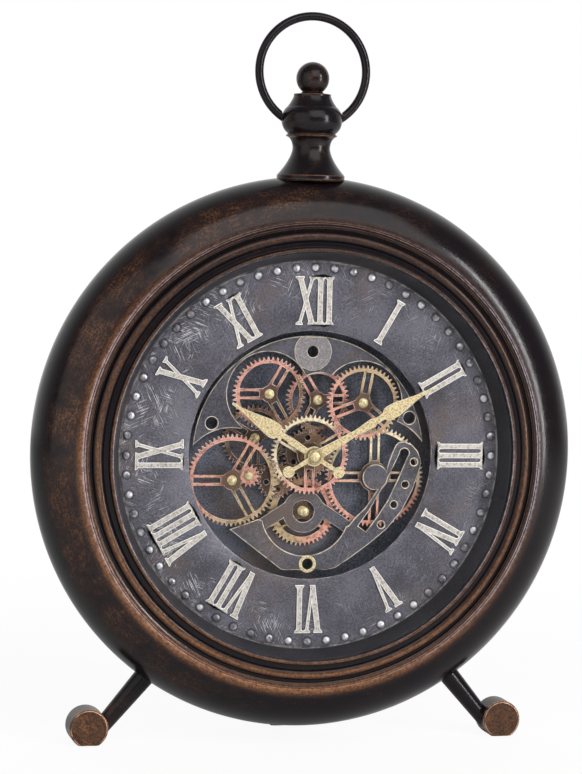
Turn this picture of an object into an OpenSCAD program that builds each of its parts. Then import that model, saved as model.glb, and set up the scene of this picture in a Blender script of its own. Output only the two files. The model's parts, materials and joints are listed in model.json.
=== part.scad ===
// Table clock in an aged bronze case, with an open train of moving gears behind a Roman dial.
// The face frame has its origin at the hands' axis in the case's mid plane: X to the right,
// Y up and Z towards the viewer. Everything turned about that axis is drawn there.

/* [Case] */
// Outer radius of the round case
case_r = 140; // [138:0.5:146]
// Radius of the case's rounded rim, which is half the case's depth
rim_r = 25; // [24.6:0.1:25.4]
// Thickness of the spun case wall
wall = 1.2; // [0.8:0.1:1.6]
// Height of the hands' axis above the table
axis_z = 148; // [144:1:156]

/* [Bezel and glass] */
// Forward reach of the bezel's lip from the mid plane
lip_f = 28; // [27.6:0.1:29]
// Width of the bezel from the case's ridge to the sight opening
bezel_w = 12.4; // [12:0.1:13]
// Thickness of the flat glass
glass_t = 1.5; // [1:0.1:1.6]
// Radius of the half round bead on the bezel
bead_r = 2.9; // [2.4:0.1:3.1]

/* [Dial] */
// Forward reach of the dial's face from the mid plane
dial_f = 15.3; // [15:0.1:16]
// Thickness of the dial plate
dial_t = 2; // [1.4:0.1:2.2]
// Radius of the round window that shows the gears
window_r = 62.8; // [61:0.2:64]
// Width of the flared ring between the sight opening and the dial's visible edge
flare_w = 4.3; // [4:0.1:4.8]
// Distance of the ring of minute studs from the dial's visible edge
stud_inset = 3.7; // [3:0.1:4.2]
// Radius of one minute stud
stud_r = 1.7; // [1.2:0.1:1.9]
// Clear width between the minute studs and the numerals
numeral_out = 2.8; // [2:0.1:5]
// Clear width between the window's bevel and the numerals
numeral_in = 1.7; // [1.2:0.1:4]
// Relief of the numerals above the dial
numeral_t = 0.9; // [0.5:0.1:1.2]
// Width of a thick stroke
stroke_w = 2.7; // [2:0.1:3]
// Width of a thin stroke
hairline_w = 1.7; // [1.2:0.1:2]

/* [Hands] */
// Length of the minute hand from the axis to its tip
minute_len = 71.5; // [60:0.5:74]
// Length of the hour hand from the axis to its tip
hour_len = 50; // [40:0.5:54]
// Thickness of the stamped hands
hand_t = 0.6; // [0.4:0.1:0.8]
// Clockwise angle of the minute hand from twelve
minute_deg = 60; // [0:6:354]
// Clockwise angle of the hour hand from twelve
hour_deg = 302; // [0:1:359]

/* [Gears] */
// Tooth module of the whole train
gear_m = 0.75; // [0.74:0.01:0.76]
// Thickness of a gear wheel
gear_t = 1.4; // [1.2:0.1:1.5]
// Share of the tooth pitch left free between teeth in mesh
backlash = 0.16; // [0.1:0.01:0.2]
// Radius of the arbors that carry the gears
arbor_r = 1.5; // [1.2:0.1:1.6]
// Running clearance of an arbor in its bush, on the radius
run_c = 0.06; // [0.03:0.01:0.08]

/* [Bridges] */
// Thickness of the bridge plates
plate_t = 1.6; // [1.4:0.1:1.8]
// Gap between the bridge plates' outer edge and the dial's window
bridge_gap = 2.8; // [1.8:0.1:4.8]
// Width by which the base plate reaches behind the dial, round the window
base_lap = 6.2; // [5.8:0.1:9]

/* [Finial and ring] */
// Wire radius of the carrying ring
wire_r = 2.15; // [1.8:0.05:2.3]
// Radius of the carrying ring at the middle of its wire
ring_r = 27.7; // [27:0.1:30]
// Largest radius of the onion shaped knob
onion_r = 15.4; // [14.5:0.1:15.8]
// Radius of the ball on top
ball_r = 8.35; // [7:0.05:9]
// Radius of the flange that sits on the case
flange_r = 17.2; // [15:0.1:18.5]

/* [Legs] */
// Radius of the round feet
foot_r = 9.9; // [9:0.1:10.5]
// Length of a foot from front to back
foot_l = 16; // [14:0.5:18]
// Sideways distance of the front feet from the axis
foot_x = 108.5; // [104:0.5:112]
// Height of a foot's centre above the table
foot_h = 8.5; // [7.5:0.1:9]
// Radius of a leg where it leaves the case
leg_r = 5.5; // [4.8:0.1:6]
// Radius of a leg beside its foot
leg_end_r = 4.1; // [3.6:0.1:4.6]
// Distance of the rear foot's front face behind the mid plane
rear_foot_y = 38.5; // [38:0.5:42]

/* [Movement] */
// Side of the square movement housing
housing_w = 96; // [92:1:98]
// Depth of the movement housing
housing_d = 20; // [19:0.5:20]
// Radius of the back cover
cover_r = 112; // [110:0.5:112.5]

/* [Hidden] */

bronze = "#3a2a22";
iron = "#34343c";
copper = "#c0714f";
gold = "#c9b277";
brass = "#b89a55";
silver = "#d8d2c6";

// Depths from the mid plane, forward positive
glass_f = lip_f - 1.2;
glass_back_f = glass_f - glass_t;
dial_back_f = dial_f - dial_t;
upper_f = 12.2;
bridge_f = 9.6;
lower_f = 7.2;
deep_f = 5;
base_f = 2.6;
base_back_f = base_f - plate_t;
hour_f = 21.4;
minute_f = 23.4;
nut_f = 24.6;
bush_back_f = -3;
housing_f = -3.6;
housing_back_f = housing_f - housing_d;

// Radii and clearances of the case front
ridge_r = case_r - rim_r;
sight_r = ridge_r - bezel_w;
chapter_r = sight_r - flare_w;
stud_ring_r = chapter_r - stud_inset;
bevel_w = 1.2;
numeral_low_r = window_r + bevel_w + numeral_in;
numeral_h = stud_ring_r - stud_r - numeral_out - numeral_low_r;
numeral_r = numeral_low_r + numeral_h/2;
bridge_r = window_r - bridge_gap;
base_r = window_r + base_lap;
ridge_in_r = ridge_r - 0.9;
groove_r = ridge_r - 1.6;
flange_in_r = sight_r + 3.6;
flange_f = rim_r - 2.4;
bead_ring_r = groove_r - bead_r - 0.6;
seat_r = sight_r + 0.8;
glass_r = seat_r - 0.1;
lip_out_r = sight_r + 2;
dial_r = flange_in_r - 0.4;
loose = 0.3;

// Train: teeth of each wheel and the direction of its arbor from the wheel it meshes with
z_centre = 52;
z_lower = 32;
z_ul = 48;
z_ll = 60;
z_ur = 49;
z_top = 42;
z_right = 67;
z_bottom = 46;
z_left = 43;
z_middle = 24;
z_drive = 14;
dir_ul = 125.3;
dir_ll = 197.9;
dir_ur = 44.1;
dir_top = 80.2;
dir_right = -18.4;
dir_bottom = 266.7;
dir_left = 164.2;
dir_middle = 219.8;
dir_drive = 171;

function toward(deg, dist) = [dist*cos(deg), dist*sin(deg)];
function mesh_d(z1, z2) = gear_m*(z1 + z2)/2;

p_ul = toward(dir_ul, mesh_d(z_centre, z_ul));
p_ll = toward(dir_ll, mesh_d(z_centre, z_ll));
p_ur = toward(dir_ur, mesh_d(z_centre, z_ur));
p_top = toward(dir_top, mesh_d(z_lower, z_top));
p_right = toward(dir_right, mesh_d(z_lower, z_right));
p_bottom = toward(dir_bottom, mesh_d(z_lower, z_bottom));
p_left = toward(dir_left, mesh_d(z_lower, z_left));
p_middle = toward(dir_middle, mesh_d(z_lower, z_middle));
p_drive = p_middle + toward(dir_drive, mesh_d(z_middle, z_drive));

// Angle of one tooth of a wheel that meshes with a wheel whose tooth stands at angle a1
function mesh_phase(z1, a1, dir, z2) = dir + 180 - (0.5 - (dir - a1)*z1/360)*360/z2;
a_ul = mesh_phase(z_centre, 0, dir_ul, z_ul);
a_ll = mesh_phase(z_centre, 0, dir_ll, z_ll);
a_ur = mesh_phase(z_centre, 0, dir_ur, z_ur);
a_top = mesh_phase(z_lower, 0, dir_top, z_top);
a_right = mesh_phase(z_lower, 0, dir_right, z_right);
a_bottom = mesh_phase(z_lower, 0, dir_bottom, z_bottom);
a_left = mesh_phase(z_lower, 0, dir_left, z_left);
a_middle = mesh_phase(z_lower, 0, dir_middle, z_middle);
a_drive = mesh_phase(z_middle, a_middle, dir_drive, z_drive);

// Centre of the hands' axis in the row frame: the origin lies under the middle of the depth
rear_y = rear_foot_y + foot_l;
mid_y = (lip_f - rear_y)/2;

// Turns the face frame into the standing clock
module at_axis() { translate([0, mid_y, axis_z]) rotate([90, 0, 0]) children(); }
// Moves the clock's upright parts, drawn with Z up and Y backwards from the mid plane
module upright() { translate([0, mid_y, axis_z]) children(); }
module raised(f) { translate([0, 0, f]) children(); }
module tube(r_out, r_in, h) {
  difference() {
    cylinder(r = r_out, h = h, $fn = 96);
    raised(-1) cylinder(r = r_in, h = h + 2, $fn = 96);
  }
}
// A many sided flat disc, for pieces that are stamped from sheet
module facet_disc(r, n = 60) { polygon([for (i = [0:n - 1]) toward(360*i/n, r)]); }

// Case

function arc(cx, cy, rx, ry, a0, a1, n) =
  [for (i = [0:n]) let (a = a0 + (a1 - a0)*i/n) [cx + rx*cos(a), cy + ry*sin(a)]];

back_in_r = cover_r - 12;

// Half of the rounded rim, from its front over the widest ring to its back
module rim_half(r) {
  intersection() {
    translate([ridge_r, 0]) circle(r = r, $fn = 96);
    translate([ridge_r, -r]) square([r, 2*r]);
  }
}
module case_section() {
  difference() {
    rim_half(rim_r);
    rim_half(rim_r - wall);
  }
  // step beside the bezel, and the inner flange that the bezel sits on
  translate([ridge_in_r, flange_f - wall]) square([wall, rim_r - flange_f + wall - 0.5]);
  translate([flange_in_r, flange_f - wall]) square([ridge_in_r - flange_in_r + wall, wall]);
  // back flange that carries the cover
  translate([back_in_r, -rim_r]) square([ridge_r - back_in_r + 0.1, wall]);
}

ridge_line_r = ridge_r + 2;
module case_shell() {
  color(bronze) difference() {
    at_axis() difference() {
      rotate_extrude($fn = 128) case_section();
      // fine turned line that splits the ridge beside the bezel
      raised(rim_r - 0.5) tube(ridge_line_r + 0.3, ridge_line_r - 0.3, 2);
      screw_places(cover_screw_r) raised(-rim_r - 1) cylinder(r = screw_r + 0.2, h = 4, $fn = 32);
    }
    upright() stud_hole();
    upright() for (s = leg_sides) along_leg(s) spigot_hole(leg_len);
    upright() along_rear() spigot_hole(rear_len);
  }
}

// Bezel: a lip that holds the glass, a cove, and a half round bead against the case

module bezel_section() {
  cove_f = flange_f + 2;
  polygon(concat(
    [[sight_r, lip_f - 0.4], [sight_r + 0.4, lip_f], [lip_out_r - 0.5, lip_f],
     [lip_out_r, lip_f - 0.5], [lip_out_r + 0.1, cove_f + 0.4], [lip_out_r + 0.5, cove_f],
     [bead_ring_r - bead_r + 0.2, cove_f]],
    arc(bead_ring_r, flange_f + 0.5, bead_r, bead_r, 140, 0, 10),
    [[bead_ring_r + bead_r, flange_f], [flange_in_r - 0.2, flange_f],
     [flange_in_r - 0.2, dial_f], [skirt_in_r, dial_f], [skirt_in_r, glass_back_f],
     [seat_r, glass_back_f], [seat_r, glass_f], [sight_r, glass_f]]
  ));
}
skirt_in_r = seat_r + 0.9;
module bezel_ring() { color(bronze) at_axis() rotate_extrude($fn = 128) bezel_section(); }

module glass_lens() {
  color("#c8d2d2", 0.3) at_axis() raised(glass_back_f) cylinder(r = glass_r, h = glass_t, $fn = 128);
}

// Flared ring between the glass and the dial
module flared_ring() {
  color(iron) at_axis() rotate_extrude($fn = 128) polygon([
    [chapter_r, dial_f], [chapter_r + 0.2, dial_f + 0.8], [sight_r - 0.6, glass_back_f],
    [skirt_in_r - 0.1, glass_back_f], [skirt_in_r - 0.1, dial_f]
  ]);
}

// Dial

module dial_plate() {
  color(iron) at_axis() difference() {
    raised(dial_back_f) cylinder(r = dial_r, h = dial_t, $fn = 128);
    raised(dial_back_f - 1) cylinder(r = window_r, h = dial_t + 2, $fn = 128);
    // bevel round the window, and the fine sunk line near the dial's edge
    raised(dial_f - 0.5) cylinder(r1 = window_r, r2 = window_r + bevel_w, h = 0.6, $fn = 128);
    raised(dial_f - 0.2) tube(chapter_r - 0.5, chapter_r - 0.9, 1);
  }
}

stud_h = 1;
stud_sphere_r = (stud_r*stud_r + stud_h*stud_h)/(2*stud_h);
module minute_stud() {
  intersection() {
    translate([0, 0, stud_h - stud_sphere_r]) sphere(r = stud_sphere_r, $fn = 48);
    cylinder(r = 2*stud_r, h = 2*stud_h, $fn = 24);
  }
}
module minute_studs() {
  color(iron) at_axis() raised(dial_f) for (i = [0:59])
    rotate(6*i) translate([0, stud_ring_r, 0]) minute_stud();
}

// Roman numerals with slab serifs, built from strokes. Origin at the middle of a numeral.

serif_h = 1;
serif_out = 1.1;
i_pitch = 4.7;
v_spread = 6;
x_spread = 6.6;
half_h = numeral_h/2;
serif_in = serif_h + 0.7;

// A straight stroke from (x0, bottom) to (x1, top), w wide along X
module stroke(x0, x1, w) {
  polygon([[x0 - w/2, -half_h], [x0 + w/2, -half_h], [x1 + w/2, half_h], [x1 - w/2, half_h]]);
}
// A slab serif with bracketed corners, w wide stroke at x, side +1 on top and -1 at the bottom
module serif(x, w, side) {
  polygon([for (p = [
    [x - w/2 - serif_out, half_h], [x + w/2 + serif_out, half_h],
    [x + w/2 + serif_out - 0.2, half_h - serif_h], [x + w/2, half_h - serif_in],
    [x - w/2, half_h - serif_in], [x - w/2 - serif_out + 0.2, half_h - serif_h]
  ]) [p[0], side*p[1]]]);
}
module glyph_i() {
  stroke(0, 0, stroke_w);
  serif(0, stroke_w, 1);
  serif(0, stroke_w, -1);
}
module glyph_v() {
  stroke(0.3, -v_spread/2, stroke_w*1.05);
  stroke(0.3, v_spread/2, hairline_w);
  serif(-v_spread/2, stroke_w, 1);
  serif(v_spread/2, hairline_w, 1);
}
module glyph_x() {
  stroke(x_spread/2, -x_spread/2, stroke_w*1.05);
  stroke(-x_spread/2, x_spread/2, hairline_w);
  serif(-x_spread/2, stroke_w, 1);
  serif(x_spread/2, hairline_w, 1);
  serif(x_spread/2, stroke_w, -1);
  serif(-x_spread/2, hairline_w, -1);
}
module glyph(kind) {
  if (kind == "I") glyph_i();
  if (kind == "V") glyph_v();
  if (kind == "X") glyph_x();
}
// Width that a letter takes on its line
function advance(kind) = kind == "I" ? i_pitch : kind == "V" ? v_spread + 3.2 : x_spread + 3.4;
function run_width(word, n) = n == 0 ? 0 : advance(word[n - 1]) + run_width(word, n - 1);
HOURS = ["XII", "I", "II", "III", "IV", "V", "VI", "VII", "VIII", "IX", "X", "XI"];

module numeral(word) {
  total = run_width(word, len(word));
  for (k = [0:len(word) - 1])
    translate([run_width(word, k) + advance(word[k])/2 - total/2, 0]) glyph(word[k]);
}
module numerals() {
  color(silver) at_axis() raised(dial_f) for (h = [0:11])
    rotate(-30*h) translate([0, numeral_r, 0]) linear_extrude(numeral_t) numeral(HOURS[h]);
}

// Plates of the movement

well_r = base_r - 2.4;
module well_ring() { color(iron) at_axis() raised(base_f) tube(base_r, well_r, dial_back_f - base_f); }

ARBORS = [p_ul, p_ll, p_ur, p_top, p_right, p_bottom, p_left, p_middle];
bush_r = arbor_r + 1.1;
// low blind boss seen between the right wheel's spokes
plate_boss_p = [23.2, 3.8];
plate_boss_r = 3.1;
plate_boss_t = 0.5;
module base_plate() {
  color(iron) at_axis() difference() {
    union() {
      raised(base_back_f) cylinder(r = base_r, h = plate_t, $fn = 128);
      translate([plate_boss_p[0], plate_boss_p[1], base_f - 1])
        cylinder(r = plate_boss_r, h = plate_boss_t + 1, $fn = 48);
    }
    for (p = ARBORS) translate([p[0], p[1], base_back_f - 1]) cylinder(r = bush_r, h = 9, $fn = 48);
    translate([p_drive[0], p_drive[1], base_back_f - 1]) cylinder(r = bush_r, h = 9, $fn = 48);
    raised(base_back_f - 1) cylinder(r = centre_bush_r, h = 9, $fn = 48);
  }
}
module arbor_bushes() {
  color(brass) at_axis() for (p = concat(ARBORS, [p_drive]))
    translate([p[0], p[1], bush_back_f]) tube(bush_r, arbor_r + run_c, base_f - bush_back_f);
}

// Upper bridge: a disc of bridge_r with round bites for the wheels

bite = 2.4;
function tip_r(z) = gear_m*(z + 2)/2;
function in_rim(deg, inset) = toward(deg, bridge_r - inset);
boss_p = in_rim(88.9, 8);
boss_r = 9.7;
boss_hole_r = 2.9;
left_hole_p = in_rim(162.8, 7.3);
ear_hole_p = in_rim(19.6, 4.4);
bridge_hole_r = 3.1;
module bite_round(p, r) { translate(p) circle(r = r, $fn = 96); }
module upper_bridge_outline() {
  difference() {
    circle(r = bridge_r, $fn = 128);
    translate([-bridge_r - 1, -2*bridge_r]) square([2*bridge_r + 2, 2*bridge_r]);
    bite_round(p_ul, tip_r(z_ul) + bite);
    bite_round(p_ll, tip_r(z_ll) + bite + 0.4);
    bite_round(p_ur, tip_r(z_ur) + bite - 0.6);
    bite_round(p_top, tip_r(z_top) - 2.6);
    bite_round(p_right, tip_r(z_right) + bite + 2);
    bite_round(p_left, 9.5);
    circle(r = 24, $fn = 96);
    bite_round(boss_p, boss_hole_r);
    bite_round(left_hole_p, bridge_hole_r);
    bite_round(ear_hole_p, bridge_hole_r);
  }
}
module upper_bridge() {
  color(iron) at_axis() raised(bridge_f - plate_t) linear_extrude(plate_t) upper_bridge_outline();
}

disc_seat_t = 0.5;
module boss_disc() {
  color(iron) at_axis() raised(bridge_f) difference() {
    linear_extrude(disc_seat_t) difference() {
      intersection() {
        translate(boss_p) circle(r = boss_r, $fn = 96);
        translate([-bridge_r, 0]) square([2*bridge_r, bridge_r - 0.6]);
      }
      translate(boss_p) circle(r = boss_hole_r, $fn = 48);
    }
  }
}

// Lower bridge: a strap under the bottom wheel that runs up into the slotted arm

flat_inset = 1;
strap_w = 7.4;
flat_y = flat_inset - bridge_r;
// the strap's inner edge is round about the bottom wheel
bottom_bite_p = p_bottom + [0.8, 0.4];
bottom_bite_r = bottom_bite_p[1] - flat_y - strap_w;
// ends of the strap's inner edge, left and right, from the bottom wheel's arbor
strap_left = p_bottom + [-23.5, -3.6];
strap_right = p_bottom + [23.3, -7.4];
foot_hole_p = [0.5, flat_y + 3.2];
slot_r = 2.4;
slot_top = in_rim(0.7, 9.7);
pad_r = 6.6;
arm_hole_r = 1.8;

// The arm's edges, slot and holes, each point by its direction and its distance inside bridge_r
ARM_OUTER = [
  [-67.2, 2.1], [-54.2, 3.6], [-42.3, 3.2], [-30.3, 2.5], [-17.9, 1.9], [-6.6, 0.7], [-3, 0.7],
  [1.6, 2.6], [5.3, 5.6], [7.5, 9.3]
];
ARM_INNER = [
  [7.5, 12.4], [5.8, 14.2], [0.3, 16.4], [-5.4, 17.7], [-15.3, 18.3], [-23.4, 19], [-31, 19.6],
  [-42.3, 19.2], [-51, 19.2]
];
SLOT_OUTER = [[-53.8, 14.5], [-51.9, 9.8], [-41.2, 11.4], [-29.2, 11.8], [-14.8, 11.2]];
SLOT_INNER = [[-13.8, 16], [-29.1, 17.4], [-43, 16.4]];
ARM_HOLES = [[-4, 4.4], [-16.8, 6.6], [-29.6, 7.8], [-42.8, 7]];
function placed(list) = [for (p = list) in_rim(p[0], p[1])];

module lower_bridge_blank() {
  intersection() {
    circle(r = bridge_r, $fn = 128);
    polygon(concat([[-12.6, flat_y], [13.9, flat_y]], placed(ARM_OUTER), placed(ARM_INNER),
                   [strap_right, p_bottom + [0, -13], strap_left, in_rim(-136.6, 4.7)]));
  }
}
module slot_shape() {
  polygon(concat(placed(SLOT_OUTER), [slot_top + [slot_r, 0], slot_top - [slot_r, 0]], placed(SLOT_INNER)));
  translate(slot_top) circle(r = slot_r, $fn = 32);
}
module lower_bridge_outline() {
  difference() {
    lower_bridge_blank();
    bite_round(bottom_bite_p, bottom_bite_r);
    slot_shape();
    for (p = placed(ARM_HOLES)) bite_round(p, arm_hole_r);
    bite_round(foot_hole_p, boss_hole_r);
  }
}
module lower_bridge() {
  color(iron) at_axis() raised(bridge_f - plate_t) linear_extrude(plate_t) {
    lower_bridge_outline();
    // pad over the right wheel's arbor, and its neck to the arm's inner bar
    bite_round(p_right, pad_r);
    polygon([p_right, in_rim(-23.4, 18), in_rim(-15.3, 17.3)]);
  }
}

// Pin bridge behind the strap: two arms that slope down from a round lobe about the bottom wheel's pin

pin_hole_r = 5.6;
lobe_r = 10.8;
pin_arm_a = 33;
pin_arm_w = 6.2;
pin_arm_up = 9.1;
pin_arm_l = 26;
pin_bridge_t = 0.5;
// Point of an arm on one side (-1 or 1): its distance along the arm and its height across it
function pin_arm(side, along, up) = p_bottom
  + [side*(along*cos(pin_arm_a) + up*sin(pin_arm_a)), up*cos(pin_arm_a) - along*sin(pin_arm_a)];
module pin_bridge_outline() {
  low = pin_arm_up - pin_arm_w;
  difference() {
    union() {
      polygon([
        pin_arm(-1, pin_arm_l, pin_arm_up), pin_arm(-1, pin_arm_l, low), p_bottom + [0, low/cos(pin_arm_a)],
        pin_arm(1, pin_arm_l, low), pin_arm(1, pin_arm_l, pin_arm_up), p_bottom + [0, pin_arm_up/cos(pin_arm_a)]
      ]);
      bite_round(p_bottom, lobe_r);
    }
    bite_round(p_bottom, pin_hole_r);
  }
}
module pin_bridge() {
  color(iron) at_axis() raised(bridge_f - plate_t - pin_bridge_t) linear_extrude(pin_bridge_t) pin_bridge_outline();
}

module bottom_bush() {
  color(gold) at_axis() translate([foot_hole_p[0], foot_hole_p[1], bridge_f])
    tube(boss_hole_r + 1.5, boss_hole_r, 0.8);
}

// Spacer posts, tubes that carry the bridges on the base plate

post_wall = 1.3;
POSTS = [boss_p, left_hole_p, ear_hole_p, foot_hole_p];
// blind posts under the lower bridge
blind_posts = [in_rim(-51.3, 5.6), in_rim(-115.1, 8.1)];
blind_post_r = 2.9;
post_h = bridge_f - plate_t - base_f;
module bridge_posts() {
  color(iron) at_axis() raised(base_f) {
    for (p = POSTS) translate(p) tube(bridge_hole_r + post_wall, bridge_hole_r, post_h);
    for (p = blind_posts) translate(p) cylinder(r = blind_post_r, h = post_h, $fn = 48);
  }
}

// Gears

function involute_turn(rb, r) = let (t = sqrt(max(0, r*r/(rb*rb) - 1))) t*180/PI - atan(t);
pressure = 20;
// Outline of a spur gear of z teeth with one tooth centred on the +X axis
function gear_points(z) =
  let (
    rp = gear_m*z/2,
    rb = rp*cos(pressure),
    ra = rp + gear_m,
    rf = rp - 1.25*gear_m,
    half = 90*(1 - backlash)/z,
    ref = involute_turn(rb, rp),
    low = max(rb, rf),
    h_low = half + ref - involute_turn(rb, low),
    h_tip = half + ref - involute_turn(rb, ra)
  )
  [for (i = [0:z - 1]) for (p = [[rf, -h_low - 0.25*half], [low, -h_low], [rp, -half], [ra, -h_tip],
                                 [ra, h_tip], [rp, half], [low, h_low], [rf, h_low + 0.25*half]])
    toward(360*i/z + p[1], p[0])];

rim_w_gear = 1.5;
hub_r = 4.2;
hex_r = 2;
spoke_w = 5.4;
spoke_bar = 1.35;
module hex_seat(r = hex_r) { circle(r = r, $fn = 6); }

// Direction of each wheel's first spoke, which its hexagonal seat shares
spokes_centre = 30;
spokes_ul = 60;
spokes_ll = 60;
spokes_ur = 80;
spokes_top = 122;
spokes_right = 90;
spokes_bottom = 90;
spokes_left = 30;

// Wheel with n spokes, each a pair of bars, the first spoke at angle a
module spoked_wheel(z, n, a, bore_r, hub = hub_r, rim_w = rim_w_gear) {
  rim_in = gear_m*z/2 - 1.25*gear_m - rim_w;
  difference() {
    union() {
      difference() {
        polygon(gear_points(z));
        facet_disc(rim_in);
      }
      facet_disc(hub, 36);
      for (k = [0:n - 1]) rotate(a + 360*k/n)
        translate([0, -spoke_w/2]) square([rim_in + 0.5, spoke_w]);
    }
    for (k = [0:n - 1]) rotate(a + 360*k/n)
      translate([hub + 0.9, -spoke_w/2 + spoke_bar])
        square([rim_in - hub - 1.2, spoke_w - 2*spoke_bar]);
    rotate(a) hex_seat(bore_r);
  }
}
// Places a flat wheel on its arbor: p is the arbor, f the height of its front face
module wheel_at(p, f, t = gear_t) { translate([p[0], p[1], f - t]) linear_extrude(t) children(); }

hub_seat_r = 5.2;
module gear_centre() {
  color(gold) at_axis() wheel_at([0, 0], upper_f) spoked_wheel(z_centre, 3, spokes_centre, hub_seat_r, 6.6);
}
lower_span = lower_f - (deep_f - gear_t);
module gear_centre_lower() {
  color(iron) at_axis() wheel_at([0, 0], lower_f, lower_span) difference() {
    polygon(gear_points(z_lower));
    rotate(spokes_centre) hex_seat(hub_seat_r);
    for (k = [0:5]) rotate(60*k + 30) translate([8.2, 0]) facet_disc(1.5, 18);
  }
}
module gear_upper_left() {
  color(copper) at_axis() wheel_at(p_ul, upper_f) rotate(a_ul) spoked_wheel(z_ul, 3, spokes_ul - a_ul, hex_r);
}
module gear_lower_left() {
  color(copper) at_axis() wheel_at(p_ll, upper_f) rotate(a_ll) spoked_wheel(z_ll, 3, spokes_ll - a_ll, hex_r, 4.8);
}
module gear_upper_right() {
  color(brass) at_axis() wheel_at(p_ur, upper_f) rotate(a_ur) spoked_wheel(z_ur, 3, spokes_ur - a_ur, hex_r);
}
module gear_top() {
  color(copper) at_axis() wheel_at(p_top, lower_f) rotate(a_top) spoked_wheel(z_top, 3, spokes_top - a_top, hex_r);
}
module gear_right() {
  color(gold) at_axis() wheel_at(p_right, lower_f) rotate(a_right)
    spoked_wheel(z_right, 4, spokes_right - a_right, hex_r, 7.6);
}
module gear_bottom() {
  color(copper) at_axis() wheel_at(p_bottom, deep_f) rotate(a_bottom)
    spoked_wheel(z_bottom, 3, spokes_bottom - a_bottom, hex_r, hub_r, 3);
}
module gear_left() {
  color(brass) at_axis() wheel_at(p_left, deep_f) rotate(a_left) spoked_wheel(z_left, 3, spokes_left - a_left, hex_r);
}
module gear_middle() {
  color(brass) at_axis() wheel_at(p_middle, lower_f) rotate(a_middle) difference() {
    polygon(gear_points(z_middle));
    rotate(-a_middle) hex_seat();
    for (k = [0:3]) rotate(90*k + 45) translate([5, 0]) facet_disc(1.4, 18);
  }
}
module drive_pinion() {
  color(copper) at_axis() wheel_at(p_drive, lower_f) rotate(a_drive) difference() {
    polygon(gear_points(z_drive));
    rotate(-a_drive) hex_seat();
  }
}

// Arbors: a brass pin with a hexagonal seat for its wheel, and a domed head in front

head_r = 2.5;
head_h = 1;
head_ball_r = 3.6;
tail = 0.8;
tail_disc_t = 0.6;
module head_dome(h) {
  intersection() {
    raised(h - head_ball_r) sphere(r = head_ball_r, $fn = 48);
    cylinder(r = head_r, h = 2*h, $fn = 48);
  }
}
collar_step = 0.2;
// Pin from the retaining disc behind the bush forward to height front
module arbor_pin(front) {
  raised(bush_back_f - tail) cylinder(r = arbor_r, h = front - bush_back_f + tail, $fn = 32);
  raised(bush_back_f - tail - tail_disc_t) cylinder(r = bush_r - 0.3, h = tail_disc_t, $fn = 32);
}
// Arbor at p for a wheel whose front face is at height f and whose seat stands at angle turn
module arbor(p, f, turn) {
  translate([p[0], p[1], 0]) {
    arbor_pin(f + loose + head_h/2);
    raised(f - gear_t) rotate(turn) cylinder(r = hex_r, h = gear_t, $fn = 6);
    raised(f) cylinder(r = hex_r + collar_step, h = loose, $fn = 32);
    raised(f + loose) head_dome(head_h);
  }
}
module arbor_upper_left() { color(brass) at_axis() arbor(p_ul, upper_f, spokes_ul); }
module arbor_lower_left() { color(brass) at_axis() arbor(p_ll, upper_f, spokes_ll); }
module arbor_upper_right() { color(brass) at_axis() arbor(p_ur, upper_f, spokes_ur); }
module arbor_top() { color(brass) at_axis() arbor(p_top, lower_f, spokes_top); }
// the pad of the lower bridge lies over this arbor, so its end is flush with the wheel
module arbor_right() {
  color(brass) at_axis() translate([p_right[0], p_right[1], 0]) {
    arbor_pin(lower_f);
    raised(lower_f - gear_t) rotate(spokes_right) cylinder(r = hex_r, h = gear_t, $fn = 6);
  }
}
// this arbor reaches through the pin bridge to a head in front of it
front_pin_r = 1.4;
module arbor_bottom() {
  color(brass) at_axis() {
    arbor(p_bottom, deep_f, spokes_bottom);
    translate([p_bottom[0], p_bottom[1], deep_f + loose]) {
      cylinder(r = front_pin_r, h = bridge_f - deep_f, $fn = 32);
      raised(bridge_f - deep_f - loose) head_dome(head_h + 0.4);
    }
  }
}
module arbor_left() { color(brass) at_axis() arbor(p_left, deep_f, spokes_left); }
module arbor_middle() { color(brass) at_axis() arbor(p_middle, lower_f, 0); }
module drive_shaft() { color(brass) at_axis() arbor(p_drive, lower_f, 0); }

// Centre: the threaded bush of the movement stands still, and the centre wheel turns round it

minute_arbor_r = 0.9;
hour_pipe_r = 1.9;
centre_bush_in_r = hour_pipe_r + run_c;
centre_bush_r = 3.2;
hub_in_r = centre_bush_r + run_c;
centre_bush_f = upper_f + 1.2;
module centre_bush() {
  color(brass) at_axis() raised(housing_f) tube(centre_bush_r, centre_bush_in_r, centre_bush_f - housing_f);
}
hub_core_r = 4.3;
hub_disc_t = 0.6;
hub_disc_r = 5.9;
hub_cap_t = 0.8;
hub_cap_r = 5.6;
module centre_hub() {
  back = deep_f - gear_t;
  color(brass) at_axis() difference() {
    union() {
      raised(back - hub_disc_t) cylinder(r = hub_core_r, h = upper_f + hub_cap_t - back + hub_disc_t, $fn = 48);
      raised(back - hub_disc_t) cylinder(r = hub_disc_r, h = hub_disc_t, $fn = 48);
      raised(back) rotate(spokes_centre) cylinder(r = hub_seat_r, h = upper_f - back, $fn = 6);
      raised(upper_f) cylinder(r = hub_cap_r, h = hub_cap_t, $fn = 48);
    }
    raised(back - 1) cylinder(r = hub_in_r, h = 20, $fn = 48);
  }
}
pipe_back_f = housing_f - 8;
arbor_tail = 1.4;
module hour_pipe() {
  color(brass) at_axis() {
    raised(pipe_back_f) tube(hour_pipe_r, minute_arbor_r + run_c, hour_f - pipe_back_f);
    raised(centre_bush_f + loose) tube(3, hour_pipe_r - 0.3, 0.7);
  }
}
module minute_arbor() {
  color(brass) at_axis() raised(pipe_back_f - arbor_tail)
    cylinder(r = minute_arbor_r, h = minute_f - pipe_back_f + arbor_tail, $fn = 32);
}

// Hands: a waisted arm with a small shoulder, a leaf with a long thin tip, and a counterweight

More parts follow.
